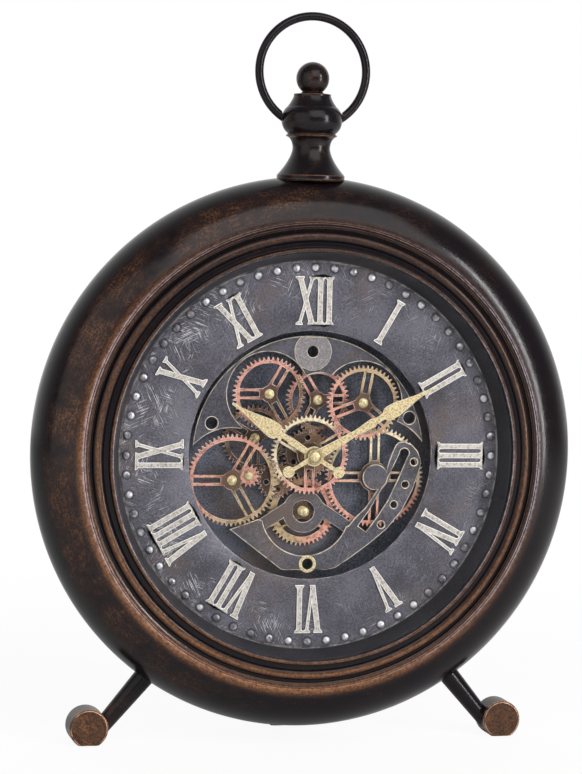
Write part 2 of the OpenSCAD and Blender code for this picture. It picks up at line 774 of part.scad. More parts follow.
leaf_power = 2.4;
function leaf_rise(u) = sqrt(u)*pow(1 - u, leaf_power);
leaf_top = leaf_rise(0.5/(leaf_power + 0.5));
// Half width of the leaf at share u of its own length, on a strip that narrows from neck to tip
function leaf_half(u, neck, wide, tip) =
  neck + (tip - neck)*u + (wide - neck)*leaf_rise(u)/leaf_top;
// arm lists the arm's half widths, each with its share of the hand's length
module hand_blade(length, arm, leaf_at, wide, tip) {
  neck = arm[len(arm) - 1][1];
  side = concat([for (p = arm) [p[1], p[0]*length]],
                [for (i = [0:16]) let (u = i/16)
                  [leaf_half(u, neck, wide, tip), (leaf_at + (1 - leaf_at)*u)*length]]);
  polygon(concat(side, [for (i = [len(side) - 1:-1:0]) [-side[i][0], side[i][1]]]));
}
tail_len = 15.4;
tail_disc_r = 2.9;
module tail() {
  polygon([[1.3, 0], [-1.3, 0], [-0.9, -tail_len + 2], [0.9, -tail_len + 2]]);
  translate([0, -tail_len]) facet_disc(tail_disc_r, 32);
}
MINUTE_ARM = [[0.02, 2.6], [0.33, 1.4], [0.46, 2.2], [0.485, 2.3], [0.5, 1.5]];
HOUR_ARM = [[0.04, 1.5], [0.22, 1.7], [0.29, 1.9], [0.32, 1.1]];
module minute_hand() {
  color(gold) at_axis() rotate(-minute_deg) raised(minute_f - hand_t) linear_extrude(hand_t) difference() {
    union() {
      hand_blade(minute_len, MINUTE_ARM, 0.57, 3.9, 0.3);
      tail();
      facet_disc(3.6, 40);
    }
    facet_disc(minute_arbor_r + 0.05, 24);
  }
}
module hour_hand() {
  color(gold) at_axis() rotate(-hour_deg) raised(hour_f - hand_t) linear_extrude(hand_t) difference() {
    union() {
      hand_blade(hour_len, HOUR_ARM, 0.41, 4.3, 0.6);
      tail();
      facet_disc(5, 40);
    }
    facet_disc(hour_pipe_r + 0.05, 24);
  }
}
module hand_nut() {
  color(gold) at_axis() raised(minute_f) intersection() {
    translate([0, 0, nut_f - minute_f - 5]) sphere(r = 5, $fn = 64);
    cylinder(r = 3.3, h = 3, $fn = 48);
  }
}

// Movement housing behind the base plate, with its cells, knob and switch

housing_y = -6;
cell_r = 7.2;
cell_l = 50.5;
bay_w = 2*cell_r + 1;
knob_p = [0, 14];
knob_r = 7;
knob_shaft_r = 2;
switch_p = [34, 12];
switch_travel = 4;
time_bay_p = [0, 30];
gear_bay_p = [0, -34];
boss_places = [[-42, 36], [42, 36], [-42, -48], [42, -48]];
housing_boss_r = 4;

module cell_bay(w, h) { translate([-w/2, -h/2, 0]) cube([w, h, bay_w]); }
module movement_housing() {
  color("#17171a") at_axis() difference() {
    union() {
      translate([-housing_w/2, housing_y - housing_w/2, housing_back_f])
        cube([housing_w, housing_w, housing_d]);
      for (p = boss_places) translate([p[0], p[1], housing_f - 1])
        cylinder(r = housing_boss_r, h = base_back_f - housing_f + 1, $fn = 32);
    }
    // blind seats for the arbors' tail ends
    for (p = concat(ARBORS, [p_drive])) translate([p[0], p[1], housing_f - 2])
      cylinder(r = bush_r + 0.6, h = 4, $fn = 32);
    raised(pipe_back_f - 2) cylinder(r = hour_pipe_r + 0.3, h = 20, $fn = 32);
    translate([time_bay_p[0], time_bay_p[1], housing_back_f - 1]) cell_bay(cell_l + 3, bay_w);
    translate([gear_bay_p[0], gear_bay_p[1], housing_back_f - 1]) cell_bay(cell_l + 3, 2*bay_w);
    translate([knob_p[0], knob_p[1], housing_back_f - 1]) cylinder(r = knob_shaft_r + run_c, h = 9, $fn = 48);
    translate([switch_p[0] - 5, switch_p[1] - 2.2, housing_back_f - 1]) cube([10, 4.4, 4]);
  }
}
module cell(p) {
  translate([p[0] - cell_l/2, p[1], housing_back_f + bay_w - 1 - cell_r]) rotate([0, 90, 0]) {
    cylinder(r = cell_r - 0.1, h = cell_l - 1.2, $fn = 48);
    cylinder(r = 2.7, h = cell_l, $fn = 32);
  }
}
module battery_cells() {
  color("#8b8f94") at_axis() {
    cell(time_bay_p);
    for (s = [-1, 1]) cell([gear_bay_p[0], gear_bay_p[1] + s*bay_w/2]);
  }
}
module setting_knob() {
  color("#17171a") at_axis() translate([knob_p[0], knob_p[1], 0]) {
    raised(housing_back_f - loose) cylinder(r = knob_shaft_r, h = 6, $fn = 48);
    raised(housing_back_f - loose - 3) difference() {
      cylinder(r = knob_r, h = 3, $fn = 64);
      for (k = [0:17]) rotate(20*k) translate([knob_r + 0.5, 0, -1]) cylinder(r = 1, h = 5, $fn = 12);
    }
  }
}
module switch_slider() {
  color("#17171a") at_axis() translate([switch_p[0] - switch_travel/2, switch_p[1], housing_back_f])
    translate([-2.6, -1.9, -1.4]) cube([5.2, 3.8, 3.8]);
}

// Back cover and the posts that clamp the stack of rings from behind

cover_t = 1.2;
cover_f = -rim_r;
post_ring_r = 88;
post_angles = [40, 140, 220, 320];
cover_post_r = 3.4;
window_gap = 1;
module cover_posts() {
  color("#8b8f94") at_axis() raised(cover_f)
    for (a = post_angles) rotate(a) translate([post_ring_r, 0, 0])
      tube(cover_post_r, 1.3, dial_back_f - cover_f);
}
screw_r = 1.5;
cover_screw_r = cover_r - 6;
module screw_places(r) { for (k = [0:5]) rotate(60*k + 30) translate([r, 0, 0]) children(); }
module back_cover() {
  w = housing_w + 2*window_gap;
  color("#1b1a1c") at_axis() difference() {
    raised(cover_f - cover_t) cylinder(r = cover_r, h = cover_t, $fn = 128);
    translate([-w/2, housing_y - w/2, cover_f - cover_t - 1]) cube([w, w, cover_t + 2]);
    screw_places(cover_screw_r) raised(cover_f - 3) cylinder(r = screw_r + 0.2, h = 6, $fn = 32);
    for (a = post_angles) rotate(a) translate([post_ring_r, 0, cover_f - 3])
      cylinder(r = screw_r + 0.2, h = 6, $fn = 32);
  }
}
module screw(length) {
  raised(-1.2) intersection() {
    translate([0, 0, 3.2]) sphere(r = 3.2, $fn = 48);
    cylinder(r = 2.8, h = 1.2, $fn = 48);
  }
  cylinder(r = screw_r, h = length, $fn = 32);
}
module cover_screws() {
  color("#8b8f94") at_axis() {
    screw_places(cover_screw_r) raised(cover_f - cover_t) screw(4);
    for (a = post_angles) rotate(a) translate([post_ring_r, 0, cover_f - cover_t]) screw(1.2);
  }
}

// Finial on top of the case: a turned base, an onion shaped knob and a ball

flange_z = case_r - 2.1;
flange_top_z = case_r + 0.6;
neck_z = case_r + 14.2;
neck_r = 9.5;
collar_z = case_r + 20.6;
collar_r = 13;
onion_bottom = collar_z + 0.6;
onion_z = case_r + 28.6;
onion_top_z = case_r + 41.6;
ball_z = case_r + 49.4;
stud_hole_r = 4.1;
plug_r = 12;
plug_depth = 8;

// The space inside the case's outer form
module case_blank() {
  rotate([90, 0, 0]) rotate_extrude($fn = 128) {
    rim_half(rim_r);
    translate([0, -rim_r]) square([ridge_r + 0.1, 2*rim_r]);
  }
}
module stud_hole() { translate([0, 0, case_r - 12]) cylinder(r = stud_hole_r, h = 24, $fn = 48); }

// Points of a trumpet shaped flare from radius r0 at height z0 to radius r1 at height z1
function flare(r0, z0, r1, z1, n) =
  [for (i = [0:n]) let (u = i/n) [r1 + (r0 - r1)*pow(1 - u, 1.6), z0 + (z1 - z0)*u]];

module finial_base() {
  color(bronze) upright() difference() {
    rotate_extrude($fn = 96) polygon(concat(
      // plug that is scribed to the case, and the flat flange over it
      [[0, case_r - plug_depth], [plug_r, case_r - plug_depth], [plug_r, flange_z],
       [flange_r - 0.5, flange_z], [flange_r, flange_z + 0.6]],
      flare(flange_r, flange_top_z, neck_r, neck_z, 9),
      arc(collar_r, neck_z, collar_r - neck_r, collar_z - 0.4 - neck_z, 170, 95, 5),
      [[collar_r, collar_z], [collar_r - 0.4, onion_bottom], [0, onion_bottom]]
    ));
    case_blank();
    translate([0, 0, case_r - 12]) cylinder(r = stud_hole_r, h = 60, $fn = 48);
  }
}
module finial_onion() {
  lobe_r = 6.4;
  color(bronze) upright() difference() {
    union() {
      rotate_extrude($fn = 96) polygon(concat(
        [[0, onion_bottom], [12.2, onion_bottom]],
        arc(onion_r - lobe_r, onion_z, lobe_r, 7.8, -60, 58, 12),
        [[11, onion_top_z - 4.4], [10, onion_top_z - 2.6], [9.4, onion_top_z - 1.1],
         [9.4, onion_top_z], [6, onion_top_z + 0.4], [5.4, onion_top_z + 0.9], [0, onion_top_z + 0.9]]
      ));
      translate([0, 0, ball_z]) sphere(r = ball_r, $fn = 96);
    }
    translate([0, 0, onion_bottom - 1]) cylinder(r = stud_hole_r, h = 11, $fn = 48);
    for (s = [-1, 1]) translate([s*pin_reach, 0, pivot_z]) rotate([0, s*90, 0])
      cylinder(r = pin_r + run_c, h = 20, $fn = 48);
  }
}
nut_z = case_r - wall - 3.6;
module finial_stud() {
  color("#8b8f94") upright() {
    translate([0, 0, nut_z - 1.4]) cylinder(r = stud_hole_r - 0.1, h = onion_bottom + 8 - nut_z, $fn = 48);
    translate([0, 0, nut_z - 2]) cylinder(r = 8, h = 4, $fn = 6);
  }
}

// Carrying ring: round wire whose ends carry pins that turn in the knob

pin_r = 1.6;
pin_reach = 9.6;
ring_z = case_r + 52.9;
// the wire stops at a flat end clear of the knob, and the pin leaves it at its middle
wire_end_x = onion_r + loose;
pivot_z = ring_z - sqrt(ring_r*ring_r - wire_end_x*wire_end_x);
// half of the ring's opening, seen from its centre, a little less than the flat ends leave
open_deg = asin((wire_end_x - wire_r)/ring_r) - 4;
module bail_ring() {
  color(bronze) upright() {
    difference() {
      translate([0, 0, ring_z]) rotate([90, 0, 0]) rotate(open_deg - 90)
        rotate_extrude(angle = 360 - 2*open_deg, $fn = 96)
          translate([ring_r, 0]) circle(r = wire_r, $fn = 32);
      translate([-wire_end_x, -2*wire_r, ring_z - 2*ring_r])
        cube([2*wire_end_x, 4*wire_r, 1.5*ring_r]);
    }
    for (s = [0, 1]) mirror([s, 0, 0]) translate([pin_reach + loose, 0, pivot_z]) rotate([0, 90, 0])
      cylinder(r = pin_r, h = wire_end_x - pin_reach + 0.7, $fn = 48);
  }
}

// Legs and feet: two in front, splayed, and one behind

foot_z = -axis_z + foot_h;
foot_y = -3;
foot_edge = 0.7;
leg_lean = 49.7;
leg_sides = [-1, 1];
// a point on the front leg's axis beside the foot, seen from the foot's centre
leg_aim = [-11.4, 4.4];
leg_low = [foot_x + leg_aim[0], foot_z + leg_aim[1]];
leg_y = foot_y + foot_l/2;
leg_reach = 8;
spigot_r = 3;
spigot_l = 9;
// length of the front leg's axis from leg_low to the case's outer form
case_at_leg_r = ridge_r + sqrt(rim_r*rim_r - leg_y*leg_y);
leg_run = -leg_low[0]*cos(leg_lean) + leg_low[1]*sin(leg_lean);
leg_len = -leg_run - sqrt(leg_run*leg_run - leg_low*leg_low + case_at_leg_r*case_at_leg_r);
// the rear leg enters the case behind its widest ring
rear_root = [22, -(case_r - 12)];
rear_foot_mid = rear_foot_y + foot_l/2;
rear_lean = atan2(rear_foot_mid - rear_root[0], rear_root[1] - foot_z);
rear_len = norm([rear_foot_mid - rear_root[0], rear_root[1] - foot_z]);

module foot_at(x, y) {
  translate([x, y, foot_z]) rotate([-90, 0, 0]) intersection() {
    union() {
      raised(foot_edge) cylinder(r = foot_r, h = foot_l - 2*foot_edge, $fn = 64);
      cylinder(r1 = foot_r - foot_edge, r2 = foot_r, h = foot_edge, $fn = 64);
      raised(foot_l - foot_edge) cylinder(r1 = foot_r, r2 = foot_r - foot_edge, h = foot_edge, $fn = 64);
    }
    translate([-2*foot_r, -2*foot_r, -1]) cube([4*foot_r, 2*foot_r + foot_h, foot_l + 2]);
  }
}
module feet() {
  color(bronze) upright() {
    for (s = leg_sides) foot_at(s*foot_x, foot_y);
    foot_at(0, rear_foot_y);
  }
}
// A front leg's axis from its low end up and inwards, s is the side
module along_leg(s) {
  translate([s*leg_low[0], leg_y, leg_low[1]]) rotate([0, s*(-90 + leg_lean), 0]) children();
}
module along_rear() {
  translate([0, rear_foot_mid, foot_z]) rotate([rear_lean, 0, 0]) children();
}
// Hole in the case for the end of a leg of length l
module spigot_hole(l) { raised(l - 8) cylinder(r = spigot_r + 0.1, h = 20, $fn = 32); }
// A tapered leg that stops on the case's rounded rim and on the foot's round side
module leg_rod(below, l) {
  raised(-below) cylinder(r1 = leg_end_r, r2 = leg_r, h = below + l + 7, $fn = 48);
}
module rim_torus() {
  rotate([90, 0, 0]) rotate_extrude($fn = 128) translate([ridge_r, 0]) circle(r = rim_r, $fn = 96);
}
module foot_side(x, y) {
  translate([x, y, foot_z]) rotate([-90, 0, 0]) cylinder(r = foot_r, h = foot_l, $fn = 64);
}
module spigot(l) { raised(l - 3) cylinder(r = spigot_r, h = spigot_l + 3, $fn = 32); }
module legs() {
  color(bronze) upright() {
    for (s = leg_sides) {
      difference() {
        along_leg(s) leg_rod(leg_reach, leg_len);
        rim_torus();
        foot_side(s*foot_x, foot_y);
      }
      along_leg(s) spigot(leg_len);
    }
    difference() {
      along_rear() leg_rod(0, rear_len);
      rim_torus();
      foot_side(0, rear_foot_y);
    }
    along_rear() spigot(rear_len);
  }
}

case_shell();
bezel_ring();
glass_lens();
flared_ring();
dial_plate();
numerals();
minute_studs();
well_ring();
base_plate();
arbor_bushes();
upper_bridge();
lower_bridge();
pin_bridge();
boss_disc();
bottom_bush();
bridge_posts();
gear_centre();
gear_centre_lower();
centre_hub();
gear_upper_left();
gear_lower_left();
gear_upper_right();
gear_top();
gear_right();
gear_bottom();
gear_left();
gear_middle();
drive_pinion();
arbor_upper_left();
arbor_lower_left();
arbor_upper_right();
arbor_top();
arbor_right();
arbor_bottom();
arbor_left();
arbor_middle();
drive_shaft();
centre_bush();
hour_pipe();
hour_hand();
minute_arbor();
minute_hand();
hand_nut();
movement_housing();
battery_cells();
setting_knob();
switch_slider();
cover_posts();
back_cover();
cover_screws();
finial_base();
finial_onion();
finial_stud();
bail_ring();
legs();
feet();
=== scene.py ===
# %% [markdown]
# A table gear clock: a round bronze case on three short legs, a slate grey dial with raised
# Roman numerals, and a train of open gear wheels turning in the middle. The measured solids are
# loaded first, as a frame that nothing here moves. The looks are then put on it step by step.

# %% Load the measured solids
import json
import math

import bmesh
import bpy
import numpy as np
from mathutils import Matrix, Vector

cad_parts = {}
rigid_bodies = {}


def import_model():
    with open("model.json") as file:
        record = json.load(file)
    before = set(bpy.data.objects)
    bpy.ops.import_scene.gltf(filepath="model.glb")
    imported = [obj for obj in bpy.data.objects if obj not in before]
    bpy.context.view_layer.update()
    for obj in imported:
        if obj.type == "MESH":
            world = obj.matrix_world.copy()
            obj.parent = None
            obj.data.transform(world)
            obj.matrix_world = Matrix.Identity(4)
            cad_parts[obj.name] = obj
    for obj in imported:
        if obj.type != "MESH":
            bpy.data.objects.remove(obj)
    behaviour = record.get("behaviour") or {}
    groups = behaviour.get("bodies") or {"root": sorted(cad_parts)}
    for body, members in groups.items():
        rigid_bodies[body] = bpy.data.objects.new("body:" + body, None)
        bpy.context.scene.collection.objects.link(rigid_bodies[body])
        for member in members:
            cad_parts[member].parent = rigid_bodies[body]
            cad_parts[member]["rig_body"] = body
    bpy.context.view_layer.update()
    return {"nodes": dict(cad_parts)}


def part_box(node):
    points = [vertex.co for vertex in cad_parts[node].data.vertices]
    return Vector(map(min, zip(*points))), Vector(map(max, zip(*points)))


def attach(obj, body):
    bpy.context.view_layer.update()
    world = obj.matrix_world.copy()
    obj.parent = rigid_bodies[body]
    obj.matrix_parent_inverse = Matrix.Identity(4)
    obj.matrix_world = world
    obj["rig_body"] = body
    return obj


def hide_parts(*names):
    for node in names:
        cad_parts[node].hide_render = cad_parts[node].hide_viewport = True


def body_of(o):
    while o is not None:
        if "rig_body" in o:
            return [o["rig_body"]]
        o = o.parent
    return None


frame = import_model()
bpy.context.scene.view_settings.view_transform = "Standard"
nodes = frame["nodes"]

# %% [markdown]
# Every place on the clock is counted from the hands' axis. It is read from the solids where they
# show it, so the looks follow when a size of the clock changes: the case gives the middle, the
# dial the axis' height, and both the depths. The front of the clock looks along -Y. Radii and
# heights are written in millimetres, and become metres when a mesh or a finish is made.

# %% Places on the clock
MM = 0.001
dial_low, dial_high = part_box("dial_plate")
case_low, case_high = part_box("case_shell")
AXIS_X = 0.5 * (case_low[0] + case_high[0])
AXIS_Z = 0.5 * (dial_low[2] + dial_high[2])
DIAL_Y = dial_low[1]
MID_Y = 0.5 * (case_low[1] + case_high[1])
MINUTES = 60
CHAPTER_R = 98.3                # where the flared ring meets the dial
STUD_RING_R = CHAPTER_R - 3.7   # the ring of minute studs
print("axis at", AXIS_X, AXIS_Z, "dial face at", DIAL_Y)

# %% [markdown]
# The camera stands where the photographer stood: a little to the left of the clock, a little
# above its middle, 1.35 m away, with a long lens. It was found by matching the case's outline,
# the dial's ellipse and the feet. The real dial sits a degree and a half out of upright in its
# case, so a small roll shares that difference between the case and the dial.

# %% Camera
AIM = np.array([AXIS_X - 7.68 * MM, MID_Y, AXIS_Z + 33.37 * MM])
CAMERA_DISTANCE = 1349.9 * MM
CAMERA_TURN = math.radians(-13.36)
CAMERA_RISE = math.radians(3.76)
CAMERA_ROLL = math.radians(1.3)
SENSOR_MM = 36.0
FOCAL_PIXELS = 2659.0
IMAGE_HEIGHT = 774.0
CLIP_NEAR, CLIP_FAR = 0.01, 50.0


def camera_axes(turn, rise, roll):
    """Right, up and back directions: back points from the aim to the camera, and right and up
    are turned about it by the roll."""
    back = np.array([math.sin(turn) * math.cos(rise), -math.cos(turn) * math.cos(rise),
                     math.sin(rise)])
    right = np.array([math.cos(turn), math.sin(turn), 0.0])
    up = np.cross(back, right)
    c, s = math.cos(roll), math.sin(roll)
    return c * right + s * up, -s * right + c * up, back


right, up, back = camera_axes(CAMERA_TURN, CAMERA_RISE, CAMERA_ROLL)
lens = bpy.data.cameras.new("photo_camera")
lens.sensor_fit = "VERTICAL"
lens.sensor_height = SENSOR_MM
lens.lens = FOCAL_PIXELS / IMAGE_HEIGHT * SENSOR_MM
lens.clip_start, lens.clip_end = CLIP_NEAR, CLIP_FAR
camera = bpy.data.objects.new("photo_camera", lens)
bpy.context.scene.collection.objects.link(camera)
placed = np.eye(4)
placed[:3, 0], placed[:3, 1], placed[:3, 2] = right, up, back
placed[:3, 3] = AIM + CAMERA_DISTANCE * back
camera.matrix_world = placed.T.tolist()
bpy.context.scene.camera = camera
print("camera at", [round(float(v), 4) for v in placed[:3, 3]], "lens", round(lens.lens, 1), "mm")

# %% [markdown]
# A finish is a small network of nodes. One function adds any node with its settings and its
# links, another turns a written sRGB colour into the linear numbers that shaders use, and the
# rest put together the patterns that several finishes share: a place on the clock, clouds of
# noise, and the share of a surface that looks forwards. Noise is given as clouds in a metre, so
# 1000 is a grain of 1 mm, about as fine as the photo shows.

# %% Helpers for the finishes
SMOOTH = {"interpolation_type": "SMOOTHSTEP"}
COLOUR = {"data_type": "RGBA", "out": 2}
TIMES, PLUS = {"operation": "MULTIPLY"}, {"operation": "ADD"}
FLAT = (1.0, 0.0, 1.0)          # leaves the depth out


def linear(code):
    """A written colour such as "#8a6f4d" as linear red, green and blue, with alpha 1."""
    srgb = np.array([int(code[i:i + 2], 16) / 255 for i in (1, 3, 5)])
    low, high = srgb / 12.92, ((srgb + 0.055) / 1.055) ** 2.4
    return (*np.where(srgb <= 0.04045, low, high).tolist(), 1.0)


def add(tree, kind, *values, out=0, **settings):
    """Adds one node and gives one of its outputs. values fill its sockets in order, or by name
    or number where they come as one dictionary. A value that is itself an output is linked, and
    a written colour is made linear."""
    node = tree.nodes.new("ShaderNode" + kind)
    for name, value in settings.items():
        setattr(node, name, value)
    by_key = values[0] if values and isinstance(values[0], dict) else dict(enumerate(values))
    for key, value in by_key.items():
        if isinstance(value, bpy.types.NodeSocket):
            tree.links.new(value, node.inputs[key])
        else:
            node.inputs[key].default_value = linear(value) if isinstance(value, str) else value
    return node.outputs[out]


def finish(name, **constants):
    """A new material with its shader. constants are the shader's own sockets, with _ for each
    space in a socket's name."""
    material = bpy.data.materials.new(name)
    material.use_nodes = True
    tree = material.node_tree
    shader = tree.nodes["Principled BSDF"]
    for key, value in constants.items():
        shader.inputs[key.replace("_", " ")].default_value = value
    return material, tree, shader


def tie(tree, shader, **outputs):
    """Links outputs to the shader's sockets, named as in finish."""
    for key, value in outputs.items():
        tree.links.new(value, shader.inputs[key.replace("_", " ")])


def face_place(tree, scale=(1.0, 1.0, 1.0), turn=0.0):
    """Object coordinates counted from the hands' axis, turned about it and then stretched."""
    place = add(tree, "TexCoord", out="Object")
    centred = add(tree, "VectorMath", place, (AXIS_X, DIAL_Y, AXIS_Z), operation="SUBTRACT")
    spun = add(tree, "VectorRotate", {"Vector": centred, "Angle": turn}, rotation_type="Y_AXIS")
    return add(tree, "VectorMath", spun, scale, **TIMES)


def axis_distance(tree):
    """The distance from the hands' axis, in metres."""
    return add(tree, "VectorMath", face_place(tree, FLAT), out="Value", operation="LENGTH")


def ring_place(tree, around, across):
    """A place for noise that is drawn out along the case's ring. The direction from the hands'
    axis becomes a point on a circle of radius around, so there is no seam, and the distance from
    the axis plus the depth, times across, is counted off on the third axis."""
    unit = add(tree, "VectorMath", face_place(tree, FLAT), operation="NORMALIZE")
    circle = add(tree, "VectorMath", unit, (around,) * 3, **TIMES)
    depth = add(tree, "SeparateXYZ", face_place(tree), out="Y")
    reach = add(tree, "Math", axis_distance(tree), depth, **PLUS)
    lift = add(tree, "Math", reach, across, **TIMES)
    return add(tree, "VectorMath", circle, add(tree, "CombineXYZ", {"Y": lift}), **PLUS)


def cloudy(tree, scale, detail=4.0, roughness=0.6, turn=0.0):
    """Cloud noise from 0 to 1. scale is the number of clouds in a metre, one number for each of
    X, Y and Z where the clouds are drawn out, or a place that is already stretched."""
    if not isinstance(scale, bpy.types.NodeSocket):
        scale = face_place(tree, scale if isinstance(scale, tuple) else (scale,) * 3, turn)
    return add(tree, "TexNoise", {"Vector": scale, "Scale": 1.0, "Detail": detail,
                                  "Roughness": roughness}, out="Fac")


def faces_front(tree):
    """1 where the surface looks forwards or back, and 0 on the walls of a stamped piece."""
    depth = add(tree, "SeparateXYZ", add(tree, "TexCoord", out="Normal"), out="Y")
    return add(tree, "MapRange", add(tree, "Math", depth, operation="ABSOLUTE"), 0.35, 0.85,
               **SMOOTH)


print("helpers ready")

# %% [markdown]
# The case is spun steel under a black-brown lacquer. A nearly dry brush of brown and copper paint
# was drawn over it: brown lies in a soft band round the shoulder, and copper catches on the
# ridges. The band is made strongest on the left as a painted light from that side, the copper is
# made strongest low down as a painted highlight, and thin pale lines on both sides of the grooves
# are painted highlights. Three numbers on the piece's own points say where: one for the band, one
# for the copper and its highlight, and one for the pale lines, because only the turned shape knows
# them. The brush ran along the ring, so the noise that breaks the brown into strokes is drawn out
# that way: a stroke is about 5 mm long and 1 mm wide.

# %% Aged bronze lacquer
STROKES_AROUND, STROKES_ACROSS = 26.0, 900.0
SPECKS, BLOTCHES = 1000, 60
LACQUER_RELIEF = 0.03 * MM
BLACK, BROWN, RUST, COPPER_WEAR_AND_HIGHLIGHT, PAINTED_HIGHLIGHT_LINE = "#120e12", "#38271f", "#63412b", "#9a6a48", "#b7b0ba"


def aged_bronze(name, spread, patches, polish, front=0.0):
    """Black lacquer with rubbed brown and copper, with painted light and highlights laid into them
    by the turned pieces' own numbers. spread is how much brown there is away from the band, patches
    the number of brown clouds in a metre, polish the roughness of the lacquer, low for a gloss, and
    front how much copper there is on faces that look forwards. Each coat covers the one before it
    by its own share."""
    material, tree, shader = finish(name, Metallic=0.1, Specular_IOR_Level=0.2)
    strokes = cloudy(tree, ring_place(tree, STROKES_AROUND, STROKES_ACROSS), 4.0, 0.7)
    both = add(tree, "Math", strokes, cloudy(tree, SPECKS, 2.0), **PLUS)
    fine = add(tree, "Math", both, 0.5, **TIMES)
    blotches = cloudy(tree, BLOTCHES, 4.0, 0.65)
    loose = add(tree, "MapRange", cloudy(tree, patches, 3.0), 0.42, 0.68, 0.0, spread, **SMOOTH)
    # the band's brown, made stronger on the left as a painted light from that side
    rub_and_side_light = add(tree, "Attribute", out="Fac", attribute_name="rub_and_side_light")
    reach = add(tree, "Math", rub_and_side_light, loose, **PLUS)

    wide = add(tree, "MapRange", blotches, 0.25, 0.6, **SMOOTH)
    thin = add(tree, "MapRange", fine, 0.42, 0.58, 0.4, 1.0, **SMOOTH)
    brown = add(tree, "Math", add(tree, "Math", wide, thin, **TIMES), reach, **TIMES)
    narrow = add(tree, "MapRange", blotches, 0.42, 0.7, **SMOOTH)
    sparse = add(tree, "MapRange", fine, 0.47, 0.6, **SMOOTH)
    rust = add(tree, "Math", add(tree, "Math", narrow, sparse, **TIMES), reach, **TIMES)

    flecks = add(tree, "MapRange", fine, 0.38, 0.62, 0.35, 1.0, **SMOOTH)
    facing = add(tree, "Math", faces_front(tree), front, **TIMES)
    # copper worn on the turned corners, plus a painted highlight on the ridge, bead and lip,
    # strongest low down
    ridge_wear_and_highlight = add(tree, "Attribute", out="Fac", attribute_name="wear_and_highlight")
    wear_and_highlight = add(tree, "Math", ridge_wear_and_highlight, facing, **PLUS)
    copper_and_highlight = add(tree, "Math", wear_and_highlight, flecks, **TIMES)
    broken = add(tree, "Math", flecks, 0.1, operation="SUBTRACT")
    # pale lines by the grooves and the lip: painted highlights
    groove_highlights = add(tree, "Attribute", out="Fac", attribute_name="line")
    line = add(tree, "Math", groove_highlights, broken, **TIMES)

    colour = BLACK
    for share, coat in ((brown, BROWN), (rust, RUST), (copper_and_highlight, COPPER_WEAR_AND_HIGHLIGHT), (line, PAINTED_HIGHLIGHT_LINE)):
        colour = add(tree, "Mix", {0: share, 6: colour, 7: coat}, **COLOUR)
    tie(tree, shader, Base_Color=colour,
        Roughness=add(tree, "MapRange", fine, 0.3, 0.7, polish, polish + 0.14),
        Normal=add(tree, "Bump", {"Height": fine, "Distance": LACQUER_RELIEF}))
    return material


# Spun steel, dipped in gloss lacquer: deep black with clear reflections, brown only where rubbed
bronze_case = aged_bronze("aged_bronze_lacquer", 0.06, 24, 0.12)
# The same dip on the pressed bezel, with a little more brown left in its cove
bronze_bezel = aged_bronze("aged_bronze_bezel", 0.15, 40, 0.12)
# Turned and handled more, so brown shows through in patches all over
bronze_trim = aged_bronze("aged_bronze_turned", 0.45, 45, 0.15)
# Rubbed down with a pad: a satin coppery brown, copper on the flat ends
bronze_foot = aged_bronze("rubbed_bronze_feet", 0.8, 60, 0.26, 0.28)
print(bronze_case.name, bronze_bezel.name, bronze_trim.name, bronze_foot.name)

# %% [markdown]
# The dial and the bridges are steel under a slate grey metallic lacquer, rubbed with a wire pad in
# several directions. Each direction is one thin drawn-out noise, and clouds leave some of it out.
# On the dial the scratches gather round the studs, more of them on the left, where they also
# stand in for a painted sheen of the light from that side. A painted shade darkens the dial at the
# foot of each stud and along its edge.

# %% Slate lacquer of the dial and the bridges
RUB_TURNS_DEG = (25, 70, 115, 160)
SCRATCHES = (110, 10, 2600)     # 9 mm long and 0.4 mm wide
RUBBED_SPOTS = (45, 10, 45)     # 22 mm across
GRAIN, MOTTLING, BLOOM = 950, 40, 26
STUD_FOOT_R, STUD_SHADE_R = 2.1, 2.9
EDGE_SHADE_W = 2.2


def rubbing(tree):
    """Scratches in every direction of the pad, added up."""
    total = 0.0
    for turn_deg in RUB_TURNS_DEG:
        turn = math.radians(turn_deg)
        fine = add(tree, "MapRange", cloudy(tree, SCRATCHES, 2.0, turn=turn), 0.57, 0.72, **SMOOTH)
        where = add(tree, "MapRange", cloudy(tree, RUBBED_SPOTS, 2.0, turn=turn), 0.5, 0.66,
                    **SMOOTH)
        one = add(tree, "Math", fine, where, **TIMES)
        total = add(tree, "Math", one, total, **PLUS)
    return total


def rubbing_and_left_sheen(tree):
    """How much of the rubbing a place on the dial gets: most by the studs, and more on the left,
    which also paints a sheen of the light from the left.
    """
    near = add(tree, "MapRange", axis_distance(tree), (STUD_RING_R - 24) * MM,
               (STUD_RING_R - 6) * MM, **SMOOTH)
    across = add(tree, "SeparateXYZ", face_place(tree, FLAT), out="X")
    painted_left_sheen = add(tree, "MapRange", across, 0.03, -0.07, 0.2, 2.1, **SMOOTH)
    return add(tree, "Math", near, painted_left_sheen, 0.35, operation="MULTIPLY_ADD")


